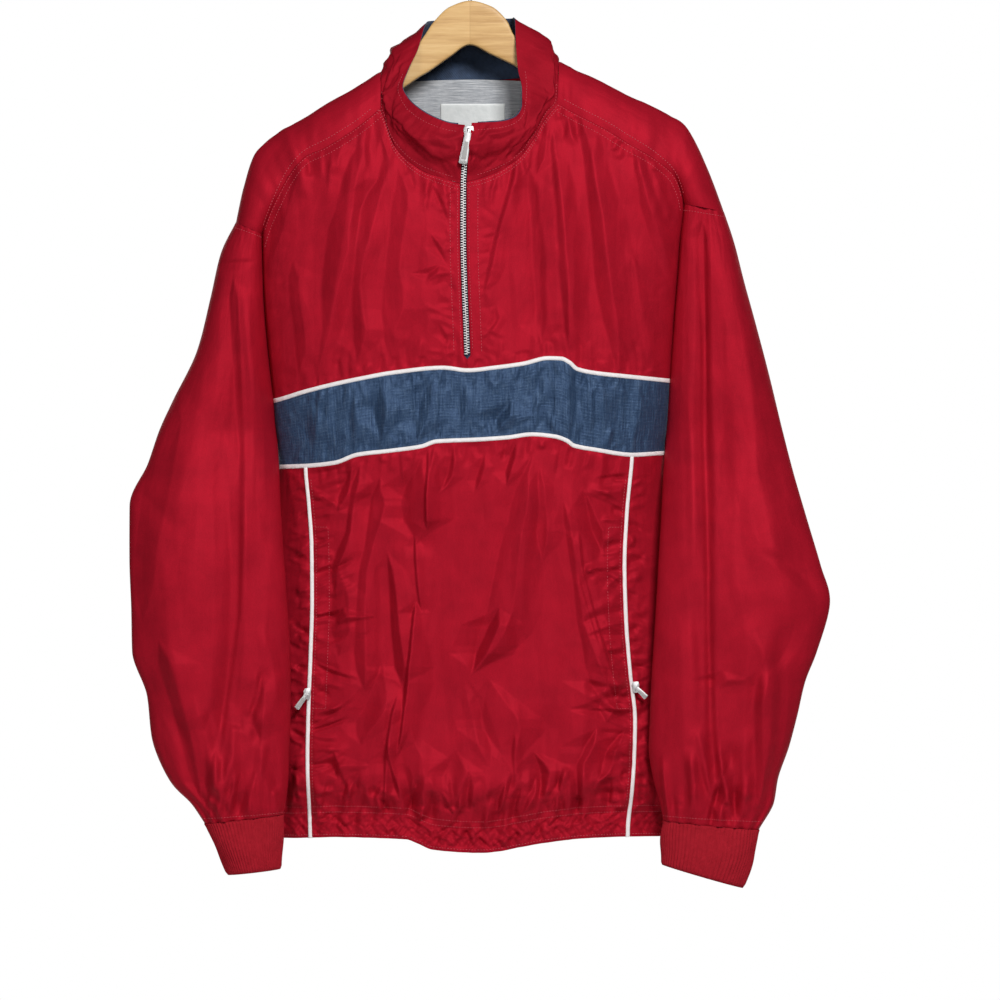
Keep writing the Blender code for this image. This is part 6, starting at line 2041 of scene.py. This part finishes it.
def tab_outline(top, tip, wide_top, wide_tip):
    """A tab's outline: straight sides from its top to a blunt tip with rounded corners."""
    top, tip = np.array(top, float), np.array(tip, float)
    ahead = unit(tip - top)
    side = np.array([-ahead[1], ahead[0]])
    turn = np.linspace(0, np.pi, 9)[:, None]
    sideways = np.sign(np.cos(turn)) * np.abs(np.cos(turn)) ** 0.5
    end = tip + (side * sideways + ahead * (0.45 + 0.5 * np.sin(turn) ** 0.5)) * wide_tip / 2
    blunt = top - ahead * 0.2
    start = [blunt - side * wide_top / 2, blunt + side * wide_top / 2]
    return np.concatenate([start, end])


print("a tab has", len(tab_outline((0, 0), (0, 9), 3, 4)), "corners")

# %% Zip slider and its tab
low, high = solid_box("zip_slider")
outline = slider_outline(low, high, (1.2, 0, 0.8, 2.4), 2.0)
plate = rounded_plate(outline, low[1] + 1.5, high[1] + 1.5, 0.6)
plate_object("zip_slider_body", plate, zip_silver, nodes=["zip_slider"])
turn = np.linspace(0, np.pi, 15)
bridge_path = to_points(
    (low[0] + high[0]) / 2, -high[2] + 6.3 - 4.6 * np.cos(turn),
    low[1] + 1.9 - 2.5 * np.sin(turn) ** 0.7,
)
turn = np.linspace(0, 2 * np.pi, 10, endpoint=False)
bridge = bridge_path[:, None] + to_points(1.3 * np.cos(turn), 0, -0.75 * np.sin(turn))
plate_object("zip_slider_bridge", bridge, zip_silver)

TABS = {  # node: (top, tip, width at the top, width at the tip)
    "zip_pull": ((-1.5, 205), (-6.2, 232), 6.2, 8.8),
    "pocket_pull_left": ((-162, 762), (-170.5, 774), 4, 5.5),
    "pocket_pull_right": ((165.5, 755.5), (173.5, 763.5), 4, 5.5),
}
for node, (top, tip, wide_top, wide_tip) in TABS.items():
    low, high = solid_box(node)
    plate = rounded_plate(tab_outline(top, tip, wide_top, wide_tip), low[1], high[1], 0.45)
    plate_object(f"{node}_tab", plate, zip_silver, body=node, nodes=[node])
    top, tip = np.array(top, float), np.array(tip, float)
    start, end = top + 0.34 * (tip - top), top + 0.9 * (tip - top)
    inlay = tab_outline(start, end, wide_top * 0.55, wide_tip * 0.55)
    plate = rounded_plate(inlay, low[1] - 0.35, low[1] + 0.4, 0.3)
    plate_object(f"{node}_inlay", plate, tab_inlay, body=node)
for node in ("pocket_slider_left", "pocket_slider_right"):
    low, high = solid_box(node)
    outline = slider_outline(low, high, (1.4, 0.2, 1.2, 2.6), 1.0)
    plate = rounded_plate(outline, low[1] + 1.2, high[1] - 0.2, 0.5)
    plate_object(f"{node}_body", plate, zip_silver, nodes=[node])
print("tabs:", ", ".join(TABS))

# %% [markdown]
# ## Hanger
#
# The hanger is cut from a plank and its edges are rounded over. A section is carried along it:
# an ellipse made squarer, as tall as the plank there and as deep as its two faces.


# %% Wooden arms and wire hook
hanger_top = curve(HANGER["x"], HANGER["top"])
hanger_bottom = curve(HANGER["x"], HANGER["bottom"])


def hanger_surface(u, v):
    """A ring round the plank at each step along x: cosine gives its height and sine its depth,
    each to a power below 1, so the faces are nearly flat and the edges round."""
    x = HANGER["x"][0] + (HANGER["x"][-1] - HANGER["x"][0]) * v
    top, bottom = hanger_top(x), hanger_bottom(x)
    turn = 2 * np.pi * u
    half = HANGER_DEPTH * (0.45 + 0.55 * smooth(207 - np.abs(x), 0, 18))
    arm = smooth(np.abs(x), 55, 95)
    side = np.sign(np.sin(turn)) * np.abs(np.sin(turn)) ** (0.22 + 0.4 * arm)
    tall = np.sign(np.cos(turn)) * np.abs(np.cos(turn)) ** (0.3 + 0.55 * arm)
    return to_points(x, (top + bottom) / 2 - (bottom - top) / 2 * tall, half * side)


rings = sample(hanger_surface, 60, 200)[:, :-1]
plate_object("wooden_hanger", rings, lacquered_beech, nodes=["hanger_bar"])

HOOK_WIRE, HOOK_RADIUS = 2.0, 22.0
HOOK_STEM = [(-0.3 + float(hanger_top(0.0)), 0), (66, 0), (61, 0), (56, 0), (49.5, 2.5), (43.5, 8)]


def tube(path, radius, sides):
    """A ring of points, square to it, round each point of a path across the y axis."""
    ahead = unit(np.gradient(path, axis=0))
    side = unit(np.cross(ahead, BACK))
    up = np.cross(side, ahead)
    turn = 2 * np.pi * np.arange(sides)[:, None] / sides
    return path[:, None] + radius * (side[:, None] * np.cos(turn) + up[:, None] * np.sin(turn))


stem = np.array([(x, -drop) for drop, x in HOOK_STEM])
turn = np.radians(np.linspace(-52, 205, 60))
ring = HOOK_RADIUS * np.stack([np.cos(turn), np.sin(turn)], -1) + (0, HOOK_WIRE - HOOK_RADIUS)
wire_path = np.concatenate([stem, ring])
wire_path = points_at(wire_path, np.linspace(0, way_along(wire_path)[-1], 160))
for _ in range(6):
    wire_path[1:-1] = (wire_path[:-2] + 2 * wire_path[1:-1] + wire_path[2:]) / 4
hook_path = to_points(wire_path[:, 0], -wire_path[:, 1], 0)
plate_object("wire_hook", tube(hook_path, HOOK_WIRE, 14), hook_chrome,
             nodes=["hanger_hook"])
print("hanger:", HANGER["x"][-1] - HANGER["x"][0], "mm wide")

# %% [markdown]
# ## Cuts of the cloth
#
# Each sewn piece was a flat cut before it was gathered and hung. The table gives its width and
# length in metres, with the fullness that the hem and the cuffs draw up.

CUTS = {  # piece: (width, length, share of the rectangle that the cut fills, how it is held)
    "upper_front_left_cloth": (0.240, 0.275, 0.82, "hung"),
    "upper_front_right_cloth": (0.250, 0.275, 0.82, "hung"),
    "chest_band_cloth": (0.440, 0.080, 0.95, "hung"),
    "lower_front_cloth": (0.375, 0.420, 0.94, "gathered"),
    "side_front_left_cloth": (0.088, 0.420, 0.93, "gathered"),
    "side_front_right_cloth": (0.090, 0.420, 0.93, "gathered"),
    "back_cloth": (0.490, 0.810, 0.90, "gathered"),
    "shoulder_left_cloth": (0.195, 0.150, 0.80, "draped"),
    "shoulder_right_cloth": (0.205, 0.150, 0.80, "draped"),
    "sleeve_left_front_cloth": (0.200, 0.640, 0.74, "gathered"),
    "sleeve_left_back_cloth": (0.200, 0.640, 0.74, "gathered"),
    "sleeve_right_front_cloth": (0.210, 0.650, 0.74, "gathered"),
    "sleeve_right_back_cloth": (0.210, 0.650, 0.74, "gathered"),
    "cuff_left_rib": (0.160, 0.078, 0.95, "stretched"),
    "cuff_right_rib": (0.175, 0.082, 0.95, "stretched"),
    "collar_cloth": (0.430, 0.070, 0.95, "hung"),
    "collar_facing_cloth": (0.410, 0.066, 0.95, "hung"),
    "neck_jersey": (0.156, 0.114, 0.96, "hung"),
    "blank_label": (0.065, 0.041, 1.0, "laid"),
    "piping_band_top_bead": (0.410, 0.0102, 0.67, "laid"),
    "piping_band_bottom_bead": (0.400, 0.0102, 0.67, "laid"),
    "piping_side_left_bead": (0.372, 0.0102, 0.67, "laid"),
    "piping_side_right_bead": (0.372, 0.0102, 0.67, "laid"),
    "zip_tape_strip": (0.236, 0.0165, 1.0, "laid"),
}
for name, (wide, long, share, held) in CUTS.items():
    ratio = cloth_area[name] / (wide * long * share)
    print(f"{name}: {ratio:.2f} of its cut")


# %% Floor
turn = np.linspace(0, 2 * np.pi, 97)[:-1]
floor_mesh = bpy.data.meshes.new("pale_floor")
floor_points = to_points(FLOOR_RADIUS * np.cos(turn), FLOOR_DROP, FLOOR_RADIUS * np.sin(turn))
floor_mesh.from_pydata(floor_points, [], [tuple(range(len(turn)))])
floor_paint, tree, shader = finish("pale_floor", 0.8)
speck = noise(tree, coordinates(tree, "Object"), 40.0, 3.0)
colour_to(tree, shader, ramp(tree, speck, (0.3, (0.80, 0.80, 0.80)), (0.7, (0.84, 0.84, 0.84))))
floor_mesh.materials.append(floor_paint)
floor = bpy.data.objects.new("pale_floor", floor_mesh)
bpy.context.scene.collection.objects.link(floor)
